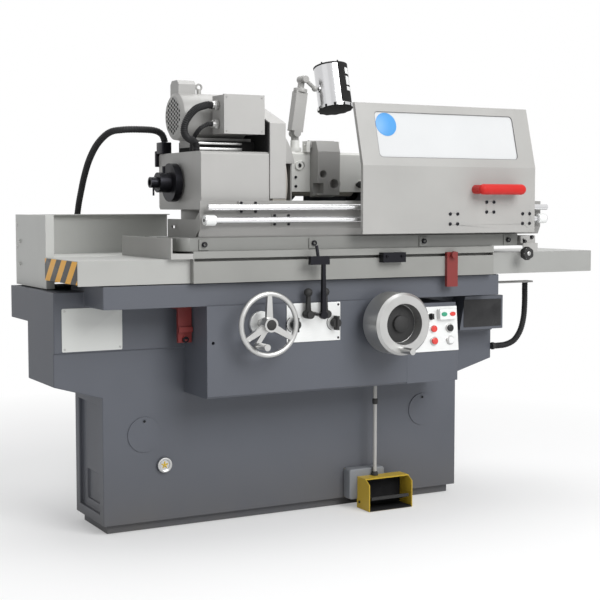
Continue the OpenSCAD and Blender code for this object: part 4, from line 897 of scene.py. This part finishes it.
# --------------------------------------------------------------------------- the machine
@dataclass
class Bed(Assembly):
    """The cast bed with its apron, cabinets and the things screwed to its front."""

    body: str = "bed"
    column_front: float = -522
    band_front: float = -530
    # Opposite corners of the bare plate, as x and z
    plate_low: Pair = (-771, 567)
    plate_high: Pair = (-583, 696)
    plate_thickness: float = 1.6
    rivet_inset: float = 8
    keyholes: tuple[Pair, ...] = ((-512, 341), (505, 344))
    sight: Pair = (-448, 201)
    hose_y: float = -526
    # The coolant hose's points, as x and z, from its bracket to its gland
    hose_route: tuple[Pair, ...] = ((940, 726), (940, 700), (940, 650), (936, 600), (922, 555),
                                    (896, 522), (862, 508), (830, 505), (807, 505))
    nodes = {
        Finish.BED: {"bed_casting": 3, "front_fittings": 0.8, "apron": 3, "console_box": 2,
                     "side_console": 1.5},
        Finish.PANEL: {"console_panel": 0.8, "control_plate": 0.8},
        Finish.RED: {"travel_lock_left": 0.8},
    }

    def trim(self) -> None:
        """Adds the plates, the oil sight, the coolant hose, the covers' locks and a screw."""
        self.schedule_plate()
        self.sight_glass()
        self.coolant_line()
        self.cover_locks()
        self.lock_bolt()
        self.rating_plate()

    def cover_locks(self) -> None:
        """Keyholes of the two access covers, each in a raised rim; the holes' dark is painted
        shade.
        """
        holes, rims = [], []
        rim = [(4.4, -3.2), (6.4, -4.2), (7, -3.2), (7, 0)]
        for x, z in self.keyholes:
            place = (x, self.column_front, z)
            holes.append(turned_profile([(4.2, -3.6), (4.2, 2)], place, Axis.Y, 20))
            rims.append(turned_profile(rim, place, Axis.Y, 24))
        self.add("cover_locks", joined(*rims), Finish.BED)
        # The keyholes' dark is painted shade
        self.add("cover_keyholes", joined(*holes), Finish.DARK)

    def lock_bolt(self) -> None:
        """Black screw of the left travel lock."""
        low, high = box_of("travel_lock_left")
        place = ((low[0] + high[0]) / 2, low[1] + 8, low[2] + 10)
        self.add("lock_bolt", cap_screw(place, 19), Finish.BLACKED)

    def rating_plate(self) -> None:
        """Black plate, bare, on the right cabinet."""
        low, high = box_of("side_console")
        ends = (low[0] + 58, low[1] - 1.4, low[2] + 22), (high[0] - 8, low[1], high[2] - 12)
        self.add("rating_plate", pad(*ends, 3, Axis.Y, 0.5), Finish.GLOSS_BLACK)

    def schedule_plate(self) -> None:
        """Bare plate on the left wing, with a rivet at each corner."""
        (x0, z0), (x1, z1) = self.plate_low, self.plate_high
        back, inset = self.band_front, self.rivet_inset
        front = back - self.plate_thickness
        self.add("schedule_plate", pad((x0, front, z0), (x1, back, z1), 4), Finish.PLATE)
        rivets = [cross_screw((x, front, z), Axis.Y, 7)
                  for x in (x0 + inset, x1 - inset) for z in (z0 + inset, z1 - inset)]
        self.add("schedule_rivets", joined(*rivets), Finish.BRUSHED)

    def sight_glass(self) -> None:
        """Oil sight: a bright ring and a star-shaped centre."""
        centre = (self.sight[0], self.column_front - 8, self.sight[1])
        ring = [(16, 1), (16, -2), (19, -3.4), (23, -2.6), (24, 0), (24, 2)]
        self.add("sight_ring", turned_profile(ring, centre, Axis.Y), Finish.BRUSHED)
        star = [(12, 5), (12, 1), (7, -1.2), (0, -1.6)]
        self.add("sight_star", turned_profile(star, centre, Axis.Y, 60, 5, 0.62), Finish.YELLOW)

    def coolant_line(self) -> None:
        """Ribbed hose under the right cover, in its two end fittings."""
        y = self.hose_y
        top, bottom = self.hose_route[0][1], self.hose_route[-1][1]
        low, high = box_of("coolant_hose")
        hose = ribbed([(x, y, z) for x, z in self.hose_route], 1.6, 10.2, 0.8)
        bracket = pad((low[0], y - 20, top), (high[0], y + 20, high[2]), 3, Axis.Z, 1)
        shape = [(12, 0), (13, 2), (13, 8), (11, 12)]
        gland = turned_profile(shape, (low[0], y, bottom), Axis.X, 24)
        self.add("coolant_line", hose, Finish.RUBBER, "coolant_hose")
        self.add("coolant_bracket", bracket, Finish.LIGHT)
        self.add("coolant_gland", gland, Finish.BLACK)


@dataclass
class Table(Assembly):
    """The travelling table with its covers, splash guard and the swivel bracket."""

    body: str = "table"
    # Swivel screws, as x from the bracket's left end and z from the table's top
    swivel_screws: tuple[Pair, ...] = ((16, 13.7), (46, 28.1))
    # Screws in the splash guard's left wall, as y and z
    splash_screws: tuple[Pair, ...] = ((-107, 867), (-107, 938))
    nodes = {
        # Lower table: a darker copy of the light enamel, painted shade
        Finish.TABLE: {"lower_table": 1.5},
        Finish.COVER: {"table_cover_left": 1.5},
        # Right cover: a darker copy of the cover enamel, painted shade
        Finish.FAR_COVER: {"table_cover_right": 1.5},
        # Splash guard: a lighter copy of the light enamel, painted light
        Finish.SPLASH: {"splash_guard": 0.8},
        Finish.LIGHT: {"coolant_trough": 0.8, "swivel_bracket": 1},
        Finish.RED: {"travel_lock_right": 0.8},
        Finish.BLACKED: {"trip_dog": 0.5},
    }

    def trim(self) -> None:
        """Adds the warning stripes, the star knob and the screws."""
        self.warning_stripes()
        self.star_knob()
        self.screws()

    def star_knob(self) -> None:
        """Six-lobed black knob on the swivel bracket, and its bright stud's end."""
        front = box_of("swivel_bracket")[0][1]
        x = UPPER_RIGHT + 8
        knob = [(14, -2), (20, -1.2), (22.5, 3), (22.5, 18), (15, 22), (9, 30)]
        knob = [(r, front + h) for r, h in knob]
        shape = turned_profile(knob, (x, 0, SLOT_Z), Axis.Y, 60, 6, 0.10)
        self.add("star_knob", shape, Finish.BLACK)
        stud = turned_profile([(6, -3), (7, -2.4), (7, 0)], (x, front, SLOT_Z), Axis.Y, 24)
        self.add("star_knob_cap", stud, Finish.BRUSHED)

    def screws(self) -> None:
        """Black socket screws of the swivel bracket, and the screws of the splash guard's wall."""
        x0, front = UPPER_RIGHT + 14, TABLE_FRONT + 10
        heads = [cap_screw((x0 + x, front, TABLE_TOP + z), 12.5) for x, z in self.swivel_screws]
        self.add("swivel_screws", joined(*heads), Finish.BLACKED)
        wall = box_of("table_cover_left")[0][0]
        rear = [cross_screw((wall, y, z), Axis.X, 13) for y, z in self.splash_screws]
        self.add("splash_screws", joined(*rear), Finish.BRUSHED)

    def warning_stripes(self) -> None:
        """Sticker on the end face of the left cover, over its front half."""
        low, high = box_of("table_cover_left")
        ends = (low[0] - 0.8, low[1] + 3, high[2] - 68), (low[0], low[1] + 300, high[2] - 2)
        self.add("warning_stripes", pad(*ends, 2, Axis.X, 0.3), Finish.STRIPES)


@dataclass
class UpperTable(Assembly):
    """The swivelling upper table, its rail carrier, the workhead's base and the tailstock."""

    body: str = "swivel_table"
    # Clamp pads, as shares of the upper table's length
    clamps: tuple[float, ...] = (0.06, 0.36, 0.69, 0.965)
    # Clamp plates, as a share of the rails' length and the rail that each one holds
    plates: tuple[tuple[float, int], ...] = ((0.125, 1), (0.215, 0))
    plate_half: Pair = (32, 18.5)
    plate_screws: Pair = (23.8, 13)
    plate_thickness: float = 5
    nodes = {
        # Upper table: a darker copy of the light enamel, painted shade
        Finish.UPPER: {"upper_table": 1.5},
        Finish.CARRIER: {"rail_carrier": 1.0},
        Finish.CHROME: {"guide_rails": 0},
        Finish.LIGHT: {"workhead_base": 2, "tailstock_body": 2},
        Finish.TURNED: {"tail_quill": 0},
        Finish.BLACKED: {"tail_lever": 0},
    }

    def trim(self) -> None:
        """Adds the clamps' screws, the carrier's plates and the rail's end caps."""
        heads = [cap_screw((UPPER_LEFT + share * UPPER_LEN, TABLE_FRONT + 6, UPPER_Z + 19.5), 16)
                 for share in self.clamps]
        self.add("clamp_screws", joined(*heads), Finish.BLACKED)
        self.clamp_plates()
        self.end_caps()

    def clamp_plates(self) -> None:
        """Two plates on the carrier's front, with a screw at each corner."""
        plates, heads = [], []
        half, rise = self.plate_half
        front = CARRIER_Y - self.plate_thickness
        for share, row in self.plates:
            x, z = CARRIER_LEFT + share * RAIL_LEN, RAIL_Z[row]
            low, high = (x - half, front, z - rise), (x + half, CARRIER_Y, z + rise)
            plates.append(pad(low, high, 2, Axis.Y, 0.8))
            spots = corners(x, z, *self.plate_screws)
            heads += [cap_screw((sx, front, sz), 8.5) for sx, sz in spots]
        self.add("rail_plates", joined(*plates), Finish.CARRIER)
        self.add("rail_plate_screws", joined(*heads), Finish.BLACKED)

    def end_caps(self) -> None:
        """White caps on the lower rail's ends, each with a hole whose dark is painted shade."""
        caps, holes = [], []
        for x, out in ((CARRIER_LEFT + 2, -1), (CARRIER_LEFT + RAIL_LEN + 20, 1)):
            low, high = sorted((x + out * 0.5, x - out * 35))
            shape = [(13, low), (16, low + 3), (16, high - 3), (13, high)]
            caps.append(turned_profile(shape, (0, RAIL_Y, RAIL_Z[0]), Axis.X))
            end = (x + out * 0.5, RAIL_Y, RAIL_Z[0])
            holes.append(turned_profile([(5, -0.8), (5, 0.8)], end, Axis.X, 24))
        self.add("rail_end_caps", joined(*caps), Finish.WHITE_CAP)
        # The holes' dark is painted shade
        self.add("rail_end_holes", joined(*holes), Finish.DARK)


@dataclass
class Workhead(Assembly):
    """The workhead with its motor, terminal box, belt guard, spindle and hoses."""

    body: str = "workhead"
    fan_radius: float = 53.2
    fan_pitch: Pair = (13, 12)
    motor_y: float = -515
    # Middle of the conduit's elbow, and the conduit's lower end
    elbow: Pair = (-385, -390)
    drop: Triple = (-548, -8, 836)
    nodes = {
        Finish.LIGHT: {"workhead_housing": 3, "workhead_motor": 1, "motor_terminal_box": 2,
                       "belt_guard": 3},
        Finish.BLACKED: {"work_spindle": 0},
        Finish.TURNED: {"work_centre": 0},
    }

    def trim(self) -> None:
        """Adds the hoses, the motor's slide, the glands and the fan's holes."""
        self.hoses()
        self.conduit_fittings()
        self.motor_mount()
        self.glands()
        self.fan_holes()

    def fan_holes(self) -> None:
        """Round holes in the end of the motor's fan cover, in staggered rows; their dark is painted
        shade.
        """
        left, middle = HEAD_LEFT - 14, box_of("workhead_housing")[1][2] + 110
        step, row = self.fan_pitch
        spots = [(i * step + math.fmod(k, 2) * step / 2, k * row)
                 for i in range(-4, 5) for k in range(-4, 5)]
        places = [(left, self.motor_y + across, middle - up)
                  for up, across in spots if math.hypot(up, across) < self.fan_radius]
        holes = [turned_profile([(4.5, -0.3), (4.5, 3)], place, Axis.X, 12) for place in places]
        # The holes' dark is painted shade
        self.add("fan_holes", joined(*holes), Finish.DARK)

    def motor_mount(self) -> None:
        """Dark slide under the motor, its bright rails, and the dark plate by the belt guard. The
        slide's black is partly painted shade under the motor, and the plate is painted shade in the
        gap by the belt guard.
        """
        top, belt = box_of("workhead_housing")[1][2], box_of("belt_guard")[0][0]
        slide = pad((HEAD_LEFT + 34, -594, top + 1), (belt - 4, -444, top + 34), 3, Axis.Z, 2)
        profile = [(-688, 1), (-450, 1), (-450, 136), (-560, 134), (-640, 106), (-688, 88)]
        side = np.array([(y, top + z) for y, z in profile], float)
        # Dark plate filling the gap by the belt guard: painted shade
        back = drawn_outline(side, belt - 5, belt - 0.4, Axis.X)
        self.add("motor_slide", joined(slide, back), Finish.LAMP_BLACK)
        x0, x1 = HEAD_LEFT + 30, HEAD_LEFT + 176
        rails = [pad((x0, -604, top + z), (x1, -594, top + z + h), 1.5, Axis.X, 1)
                 for z, h in ((5, 9), (22, 8))]
        self.add("motor_slide_rails", joined(*rails), Finish.BRUSHED)

    def glands(self) -> None:
        """Bright hose glands: a round barrel and a hexagon nut on the terminal box's side."""
        barrel = [(11.4, -20.4), (12.4, -19), (12.4, -13), (11.8, -1.6)]
        nut = [(14.6, -12.6), (15.4, -11.6), (15.4, -3), (14.6, -2)]
        parts = [turned_profile(shape, (HEAD_LEFT + 82, GLAND_Y, z), Axis.X, sides)
                 for z in GLAND_Z for shape, sides in ((barrel, 32), (nut, 6))]
        self.add("hose_glands", joined(*parts), Finish.TURNED)

    def conduit_fittings(self) -> None:
        """Black elbow and plate on the housing's back, and the sleeve at the conduit's end."""
        (x, y), back = self.elbow, box_of("workhead_housing")[1][1]
        elbow = pad((x - 16, y - 25, 1160), (x + 16, y + 25, 1196), 4, Axis.Z, 2)
        sleeve = turned_profile([(14, 0), (15.4, 2), (15.4, 30), (12, 37)], self.drop, Axis.Z, 32)
        plate = pad((x - 16, back + 0.2, 1120), (x + 16, back + 13, 1170), 3, Axis.Y, 2)
        self.add("conduit_fittings", joined(elbow, plate, sleeve), Finish.BLACKED)

    def hoses(self) -> None:
        """The thick motor hose, the thinner signal hose and the conduit to the back."""
        start, (lower, upper) = HEAD_LEFT + 62, GLAND_Z
        motor = [(start, GLAND_Y, upper), (-338, GLAND_Y, upper), (-347, GLAND_Y, upper),
                 (-390, -646, 1283), (-420, -650, 1250), (-424, -640, 1220), (-408, -626, 1200),
                 (-383, -619, 1190), (-376, -618, 1178), (-376, -618, 1169), (-376, -618, 1160)]
        signal = [(start, GLAND_Y, lower), (-336, GLAND_Y, lower), (-343, GLAND_Y, lower),
                  (-366, -626, 1228), (-372, -600, 1207), (-372, -582, 1188), (-372, -577, 1176),
                  (-372, -577, 1168), (-372, -577, 1160)]
        rear = [(-384, -396, 1196), (-394, -396, 1220), (-420, -398, 1232), (-470, -398, 1234),
                (-522, -388, 1232), (-552, -350, 1224), (-565, -280, 1192), (-564, -200, 1146),
                (-557, -128, 1094), (-549, -70, 1044), (-545, -30, 996), (-546, -12, 936),
                (-548, -8, 870)]
        for name, route, spacing, radius, rib in (
            ("motor_hose", motor, 1.3, 10.4, 1.0),
            ("signal_hose", signal, 1.3, 6.6, 0.6),
            ("rear_conduit", rear, 2.0, 10.3, 0.6),
        ):
            hose = ribbed(route, spacing, radius, rib)
            self.add(f"{name}_ribbed", hose, Finish.RUBBER, name)


@dataclass
class Guard(Assembly):
    """The sliding guard: painted shade round its window's edge, a plain disc on its window, and the
    sliders' screws.
    """

    body: str = "guard"
    left: float = UPPER_LEFT + 0.473 * UPPER_LEN
    width: float = 668.0
    front: float = RAIL_Y - 34
    # Where the upper panel starts, its height, and how far it leans back
    fold: float = 1122.4
    height: float = 196.0
    lean: float = 53.0
    disc_place: Triple = (106, 0, 135)
    # Sliders, as a share of the guard's width and the rail that each one runs on
    sliders: tuple[tuple[float, int], ...] = ((0.51, 0), (0.725, 1), (0.945, 0))
    slider_screws: Pair = (14.5, 16)
    nodes = {
        Finish.DOOR: {"sliding_guard": 0.8},
        Finish.PANE: {"guard_window": 0},
        Finish.RED_GRIP: {"guard_handle": 1},
        Finish.BLACKED: {"guard_sliders": 0.5},
    }

    def trim(self) -> None:
        """Adds the painted shade round the window's edge, the disc and the screws."""
        size = (0.805 * self.width - 3, 0.76 * self.height - 3)
        middle = (math.hypot(self.lean, self.height) / 2, self.width / 2)
        outline = rounded_outline(size[1], size[0], 13, 8) + middle
        # Band round the window's opening: painted shade on the opening's edge
        edge_shade = hoop(outline, 2.4, 0.6, 2.8, Axis.Y)
        self.add("window_edge_shade", self.on_lean(edge_shade), Finish.GASKET)
        disc = turned_profile([(37.2, 2.5), (38, 2.9), (38, 3.5)], self.disc_place, Axis.Y, 64)
        self.add("window_disc", self.on_lean(disc), Finish.BLUE)
        head = [(3.6, -3.4), (5.2, -2.8), (5.4, -2), (5.4, 0.4)]
        middles = [(self.left + share * self.width, RAIL_Z[row]) for share, row in self.sliders]
        heads = [turned_profile(head, (x, self.front, z), Axis.Y, 20)
                 for middle in middles for x, z in corners(*middle, *self.slider_screws)]
        self.add("slider_screws", joined(*heads), Finish.BLACKED)

    def on_lean(self, surface: Surface) -> Surface:
        """Moves a surface from the leaning panel's own plane, x across and z up, to its place."""
        angle = math.degrees(math.atan2(self.lean, self.height))
        return surface.turned(Axis.X, -angle).moved((self.left, self.front, self.fold))


@dataclass
class Controls(Assembly):
    """The handwheels, levers, knobs and buttons, and the trim of their plates."""

    body: str = "bed"
    tilt: float = 5.5
    corner: Triple = (330, -695, 522)
    # Columns and rows of the console's round caps, in its own plane
    columns: Triple = (38, 104, 168)
    rows: Pair = (34, 74)
    plate_face: float = -699
    knobs_x: Pair = (-88.2, 54.2)
    knobs_z: float = 634
    table_hub: Triple = (-203, -775, 643)
    infeed_hub: Triple = (236, 0, 630)
    infeed_radius: float = 59
    nodes = {
        Finish.WHEEL: {"table_handwheel": 0, "infeed_handwheel": 0},
        Finish.BLACKED: {"reverse_lever": 0.5},
        Finish.BLACK: {"start_lever": 0.5, "stop_lever": 0.5, "speed_knob": 0.4,
                       "dwell_knob": 0.4, "side_lever": 0},
        Finish.GLOSS_BLACK: {"selector_left": 0.4, "selector_right": 0.4},
        Finish.GREEN_CAP: {"green_button_upper": 0.4},
        Finish.RED_CAP: {"red_button_upper": 0.4},
    }

    def trim(self) -> None:
        """Adds the caps, the small box and the handwheels' centres."""
        self.indicator_caps()
        self.switch_box()
        self.plate_marks()
        self.handwheel_centres()

    def on_panel(self, surface: Surface) -> Surface:
        """Moves a surface from the console's own plane, x across and z up, to its place."""
        return surface.turned(Axis.X, -self.tilt).moved(self.corner)

    def indicator_caps(self) -> None:
        """Round lamps and fixed buttons: green and red below, black and white at the right."""
        (first, second, third), (lower, upper) = self.columns, self.rows
        dome = [(8, -15), (10.4, -14.2), (11.3, -12.4), (11.3, -7.4)]
        ring = [(12.4, -8.6), (14.6, -8.2), (15.2, -7), (15.2, -4)]
        for name, x, z, finish in (
            ("green_cap_lower", first, lower, Finish.GREEN_CAP),
            ("red_cap_lower", second, lower, Finish.RED_CAP),
            ("black_cap", third, upper, Finish.GLOSS_BLACK),
            ("white_cap", third, lower, Finish.WHITE_CAP),
        ):
            self.add(name, self.on_panel(turned_profile(dome, (x, 0, z), Axis.Y, 36)), finish)
        spots = [(x, lower) for x in self.columns] + [(third, upper)]
        rims = [turned_profile(ring, (x, 0, z), Axis.Y, 36) for x, z in spots]
        self.add("button_rims", self.on_panel(joined(*rims)), Finish.BRUSHED)

    def switch_box(self) -> None:
        """Small white box with a green and a red oval, above the right column."""
        box = pad((122.4, -21, 102), (189.8, -4, 137.4), 3, Axis.Y, 2)
        self.add("feed_box", self.on_panel(box), Finish.WHITE_CAP)
        buttons = ("feed_start", 139, Finish.GREEN_CAP), ("feed_stop", 172, Finish.RED_CAP)
        for name, x, finish in buttons:
            self.add(name, self.on_panel(oval((x, 120), 22, 14, -24, -20)), finish)

    def plate_marks(self) -> None:
        """Arcs beside the two pointer knobs, and the corner screws of the control plate."""
        face = self.plate_face
        places = [(x, face - 0.4, self.knobs_z) for x in self.knobs_x]
        arcs = [curved_strip(place, (24, 26), (200, 330), (-0.3, 0.3), Axis.Y) for place in places]
        self.add("knob_arcs", joined(*arcs), Finish.DARK)
        heads = [cross_screw((x, face, z), Axis.Y, 7.5) for x in (-104, 70) for z in (586, 690)]
        self.add("plate_screws", joined(*heads), Finish.BLACKED)

    def handwheel_centres(self) -> None:
        """Black cap on the table wheel's hub, and the black inside of the infeed wheel."""
        cap = [(8, -4), (15, -2), (16.5, 0.6), (16.5, 2)]
        hub = turned_profile(cap, self.table_hub, Axis.Y, 36)
        self.add("hub_cap", hub, Finish.BLACK, body="table_wheel")
        r = self.infeed_radius
        face = [(7, -811), (22, -809), (26, -806), (27, -796), (40, -793.5), (r - 2, -793),
                (r, -792), (r, -789)]
        inside = turned_profile(face, self.infeed_hub, Axis.Y, 64)
        self.add("infeed_dial", inside, Finish.BLACK, body="infeed_wheel")


@dataclass
class FootSwitch(Assembly):
    """The foot switch: gray box and riser on the bed, and the yellow guard with its pedal."""

    body: str = "bed"
    riser: Triple = (284, -575, 0)
    # Inside of the yellow guard
    left: float = 226.1
    right: float = 387.9
    back: float = -565.1
    top: float = 100.9
    nodes = {Finish.BLACK: {"foot_pedal": 1}, Finish.YELLOW: {"foot_switch_guard": 0.8}}

    def trim(self) -> None:
        """Adds the gray box, the riser with its collars, and dark sheets in and under the guard:
        painted shade.
        """
        box = pad((194, -564.5, 28), (328, -522, 129), 9, Axis.Y, 4)
        self.add("foot_box", box, Finish.GRAY_BOX)
        tube = turned_profile([(6.2, 104), (6.2, 421.6)], self.riser, Axis.Z, 24)
        self.add("foot_riser", tube, Finish.LIGHT)
        left, right, back, top = self.left, self.right, self.back, self.top
        # Dark sheets on the guard's inner walls and on the floor under it: painted shade
        walls = (
            ((left, -567.6, 3), (right, back, top), Axis.Y),
            ((left, -612, 98.6), (right, -565.2, top), Axis.Z),
            ((left, -612, 3), (228, -565.2, 100.8), Axis.X),
            ((left, -641, 0.4), (right, -566, 4.4), Axis.Z),
        )
        guard_shade = joined(*[pad(low, high, 1, axis, 0.4) for low, high, axis in walls])
        self.add("foot_guard_painted_shade", guard_shade, Finish.DARK)
        collar = [(7, 343), (9.2, 345), (9.2, 360), (7, 362)]
        rings = [turned_profile(shape, self.riser, Axis.Z, 24)
                 for shape in (collar, [(11, 103), (11, 112), (8, 118)])]
        self.add("foot_collars", joined(*rings), Finish.BLACK)


@dataclass
class Lamp(Assembly):
    """The work lamp: its arms, and its shade with vented band and black rims."""

    body: str = "lamp_shade"
    pin: Triple = (155, -394.4, 1386)
    tilt: float = 14.0
    reach: float = 70.0
    radius: float = 56.0
    low: float = -62.5
    high: float = 79.5
    # Vents in the band, as height above the shade's mouth and length
    vents: tuple[Pair, ...] = ((44, 14), (64, 30), (102, 22))
    nodes = {
        Finish.LIGHT: {"lamp_lower_arm": 0.8, "lamp_upper_arm": 0.8},
        Finish.SHADE: {"lamp_head": 0},
    }

    def trim(self) -> None:
        """Adds the rims, the scalloped ring, a dark disc of painted shade in its mouth, the band
        and its vents.
        """
        centre = (self.reach, 0, 0)
        r, lo, hi = self.radius, self.low, self.high
        scallop = [(r - 2, lo - 8.6), (r + 4.6, lo - 8), (r + 4.8, lo + 1), (r + 1, lo + 4.4)]
        ring = turned_profile(scallop, centre, Axis.Z, 96, 12, 0.07)
        # Dark disc closing the shade's mouth: painted shade of its inside
        mouth = turned_profile([(r - 5, lo - 8.9), (r - 3, lo - 8.7)], centre, Axis.Z, 48)
        rim = [(r + 1.2, hi - 4), (r + 1.4, hi + 0.6), (r - 5, hi + 1.4)]
        top = turned_profile(rim, centre, Axis.Z, 64)
        band = curved_strip(centre, (r - 1, r + 2.2), (266, 318), (lo + 4, hi))
        places = [(self.reach + (r - 3) * math.cos(a), (r - 3) * math.sin(a), hi)
                  for a in np.arange(6) * TAU / 6 + 0.5]
        pin = [(2.6, 0), (2.6, 5), (1.6, 6)]
        pins = [turned_profile(pin, place, Axis.Z, 12) for place in places]
        self.place("shade_black", joined(ring, mouth, top, band, *pins), Finish.LAMP_BLACK)
        # The vents' windows are silver; their matt white is partly a painted reflection
        windows = [curved_strip(centre, (r + 1, r + 3), (292, 312), (lo + z, lo + z + h))
                   for z, h in self.vents]
        self.place("shade_vents", joined(*windows), Finish.WHITE_CAP)

    def place(self, name: str, surface: Surface, finish: Finish) -> None:
        """Adds a surface given about the pin, tilted as the shade is."""
        self.add(name, surface.turned(Axis.X, -self.tilt).moved(self.pin), finish)


@dataclass
class Wheelhead(Assembly):
    """The wheelhead with its wheel and motor, and the fittings on its front."""

    body: str = "wheelhead"
    front: float = -399.0
    filler: Pair = (98, 1132)
    knob: Pair = (319, 1069)
    nodes = {
        Finish.BED: {"wheelhead_slide": 2, "wheel_motor": 1},
        # Housing: a lighter copy of the light enamel, painted light
        Finish.HOUSING: {"wheelhead_housing": 2},
        Finish.LIGHT: {"wheel_guard": 1, "internal_bracket": 1.5},
        Finish.STONE: {"grinding_wheel": 0},
    }

    def trim(self) -> None:
        """Adds the filler ring and eye, the clamp knob with its lever, and two screws."""
        filler = (self.filler[0], self.front, self.filler[1])
        ring = turned_profile([(9, 2), (9, -3), (11, -6), (14, -5), (15, 0)], filler, Axis.Y, 40)
        self.add("filler_ring", ring, Finish.TURNED)
        eye = turned_profile([(4, -4), (9, -2.5), (9.4, 1)], filler, Axis.Y, 32)
        self.add("filler_eye", eye, Finish.BLACK)
        x, z = self.knob
        shape = [(8, -26), (11, -24), (12, -16), (9, -10), (7, 0)]
        knob = turned_profile(shape, (x, self.front, z), Axis.Y, 32)
        lever = [(0, -18, 0), (5, -19, 9), (11, -20, 21), (15, -20, 30)]
        path = np.array([(x + a, self.front + b, z + c) for a, b, c in lever], float)
        handle = swept(path, np.array([3.4, 3.4, 3.8, 5.0]), 12)
        self.add("clamp_knob", joined(knob, handle), Finish.BLACK)
        heads = [cap_screw((80, self.front, height), 9) for height in (1062, 1092)]
        self.add("edge_screws", joined(*heads), Finish.BLACKED)


@dataclass
class Stage:
    """White floor, white surroundings, soft lights and the camera of the photograph."""

    camera_place: Triple = (-1.9557, -4.1792, 1.0)
    heading: float = 28.5
    pitch: float = 4.21
    lens: float = 77.4
    floor_reach: float = 9
    floor_z: float = -0.002
    aim: Triple = (0.0, -0.3, 0.8)
    # Name, place, size in metres and power in watts
    lamps: tuple[tuple[str, Triple, float, float], ...] = (
        ("key", (0.9, -4.6, 3.4), 2.8, 195.0),
        ("fill", (-4.2, -1.6, 2.2), 3.0, 6.0),
        ("top", (0.2, 0.2, 4.2), 3.0, 85.0),
    )

    def build(self) -> None:
        """Builds the whole stage."""
        self.camera()
        self.floor()
        self.world()
        self.lights()

    def camera(self) -> None:
        """Camera at the photograph's place, looking a little down."""
        data = bpy.data.cameras.new("camera")
        data.lens, data.sensor_width, data.sensor_fit = self.lens, 36.0, "HORIZONTAL"
        data.clip_start, data.clip_end = 0.1, 100.0
        camera = bpy.data.objects.new("camera", data)
        camera.location = self.camera_place
        camera.rotation_euler = (math.radians(90 - self.pitch), 0, math.radians(-self.heading))
        bpy.context.scene.collection.objects.link(camera)
        bpy.context.scene.camera = camera

    def floor(self) -> None:
        """Pale floor that shows white to the camera and keeps the shadow."""
        mesh = bpy.data.meshes.new("floor")
        turns = ((-1, -1), (1, -1), (1, 1), (-1, 1))
        spots = [(x * self.floor_reach, y * self.floor_reach, self.floor_z) for x, y in turns]
        mesh.from_pydata(spots, [], [(0, 1, 2, 3)])
        g = Graph(bpy.data.materials.new("floor"))
        tone = g.blend(g.noise(1.5), (0.86, 0.86, 0.86), (0.88, 0.88, 0.88))
        matt = g.make("ShaderNodeBsdfPrincipled", {}, {"Base Color": tone, "Roughness": 0.8})
        white = g.make("ShaderNodeEmission", {}, {"Color": (1, 1, 1, 1), "Strength": 1.0})
        seen = g.make("ShaderNodeLightPath", output="Is Camera Ray")
        here = {0: g.coordinates()}
        away = g.make("ShaderNodeVectorMath", {"operation": "LENGTH"}, here, "Value")
        far = ((away - 0.9) / 1.6).clamp()
        g.end(g.make("ShaderNodeMixShader", {}, {0: seen * (far * 0.7 + 0.3), 1: matt, 2: white}))
        mesh.materials.append(g.owner)
        floor = bpy.data.objects.new("floor", mesh)
        bpy.context.scene.collection.objects.link(floor)

    def world(self) -> None:
        """Soft gray light all round, seen as white by the camera and in reflections."""
        g = Graph(bpy.data.worlds.new("studio"))
        bpy.context.scene.world = g.owner
        soft, white = [g.make("ShaderNodeBackground", {}, {0: colour, 1: strength})
                       for colour, strength in (((0.98, 0.99, 1.0, 1), 0.42), ((1, 1, 1, 1), 1.0))]
        camera, glossy, through = [g.make("ShaderNodeLightPath", output=f"Is {kind} Ray")
                                   for kind in ("Camera", "Glossy", "Transmission")]
        shown = (camera + glossy + through).clamp()
        mixed = g.make("ShaderNodeMixShader", {}, {0: shown, 1: soft, 2: white})
        g.end(mixed, "ShaderNodeOutputWorld")

    def lights(self) -> None:
        """A large soft key light at the front, a weak fill at the left and one overhead."""
        for name, place, size, power in self.lamps:
            data = bpy.data.lights.new(name, "AREA")
            data.size, data.energy = size, power
            light = bpy.data.objects.new(name, data)
            light.location = place
            x, y, z = np.array(self.aim) - np.array(place)
            turn = math.atan2(x, -y) + math.pi
            light.rotation_euler = (math.atan2(math.hypot(x, y), -z), 0, turn)
            bpy.context.scene.collection.objects.link(light)


def main() -> None:
    """Builds the stage and every sub-assembly in order."""
    logging.basicConfig(level=logging.INFO)
    bpy.context.scene.view_settings.view_transform = "Standard"
    Stage().build()
    kinds = Bed, Table, UpperTable, Workhead, Guard, Controls, FootSwitch, Lamp, Wheelhead
    for part in [kind() for kind in kinds]:
        part.build()
        for name in part.made:
            LOG.info("%s: %s", type(part).__name__, name)


if __name__ == "__main__":
    main()
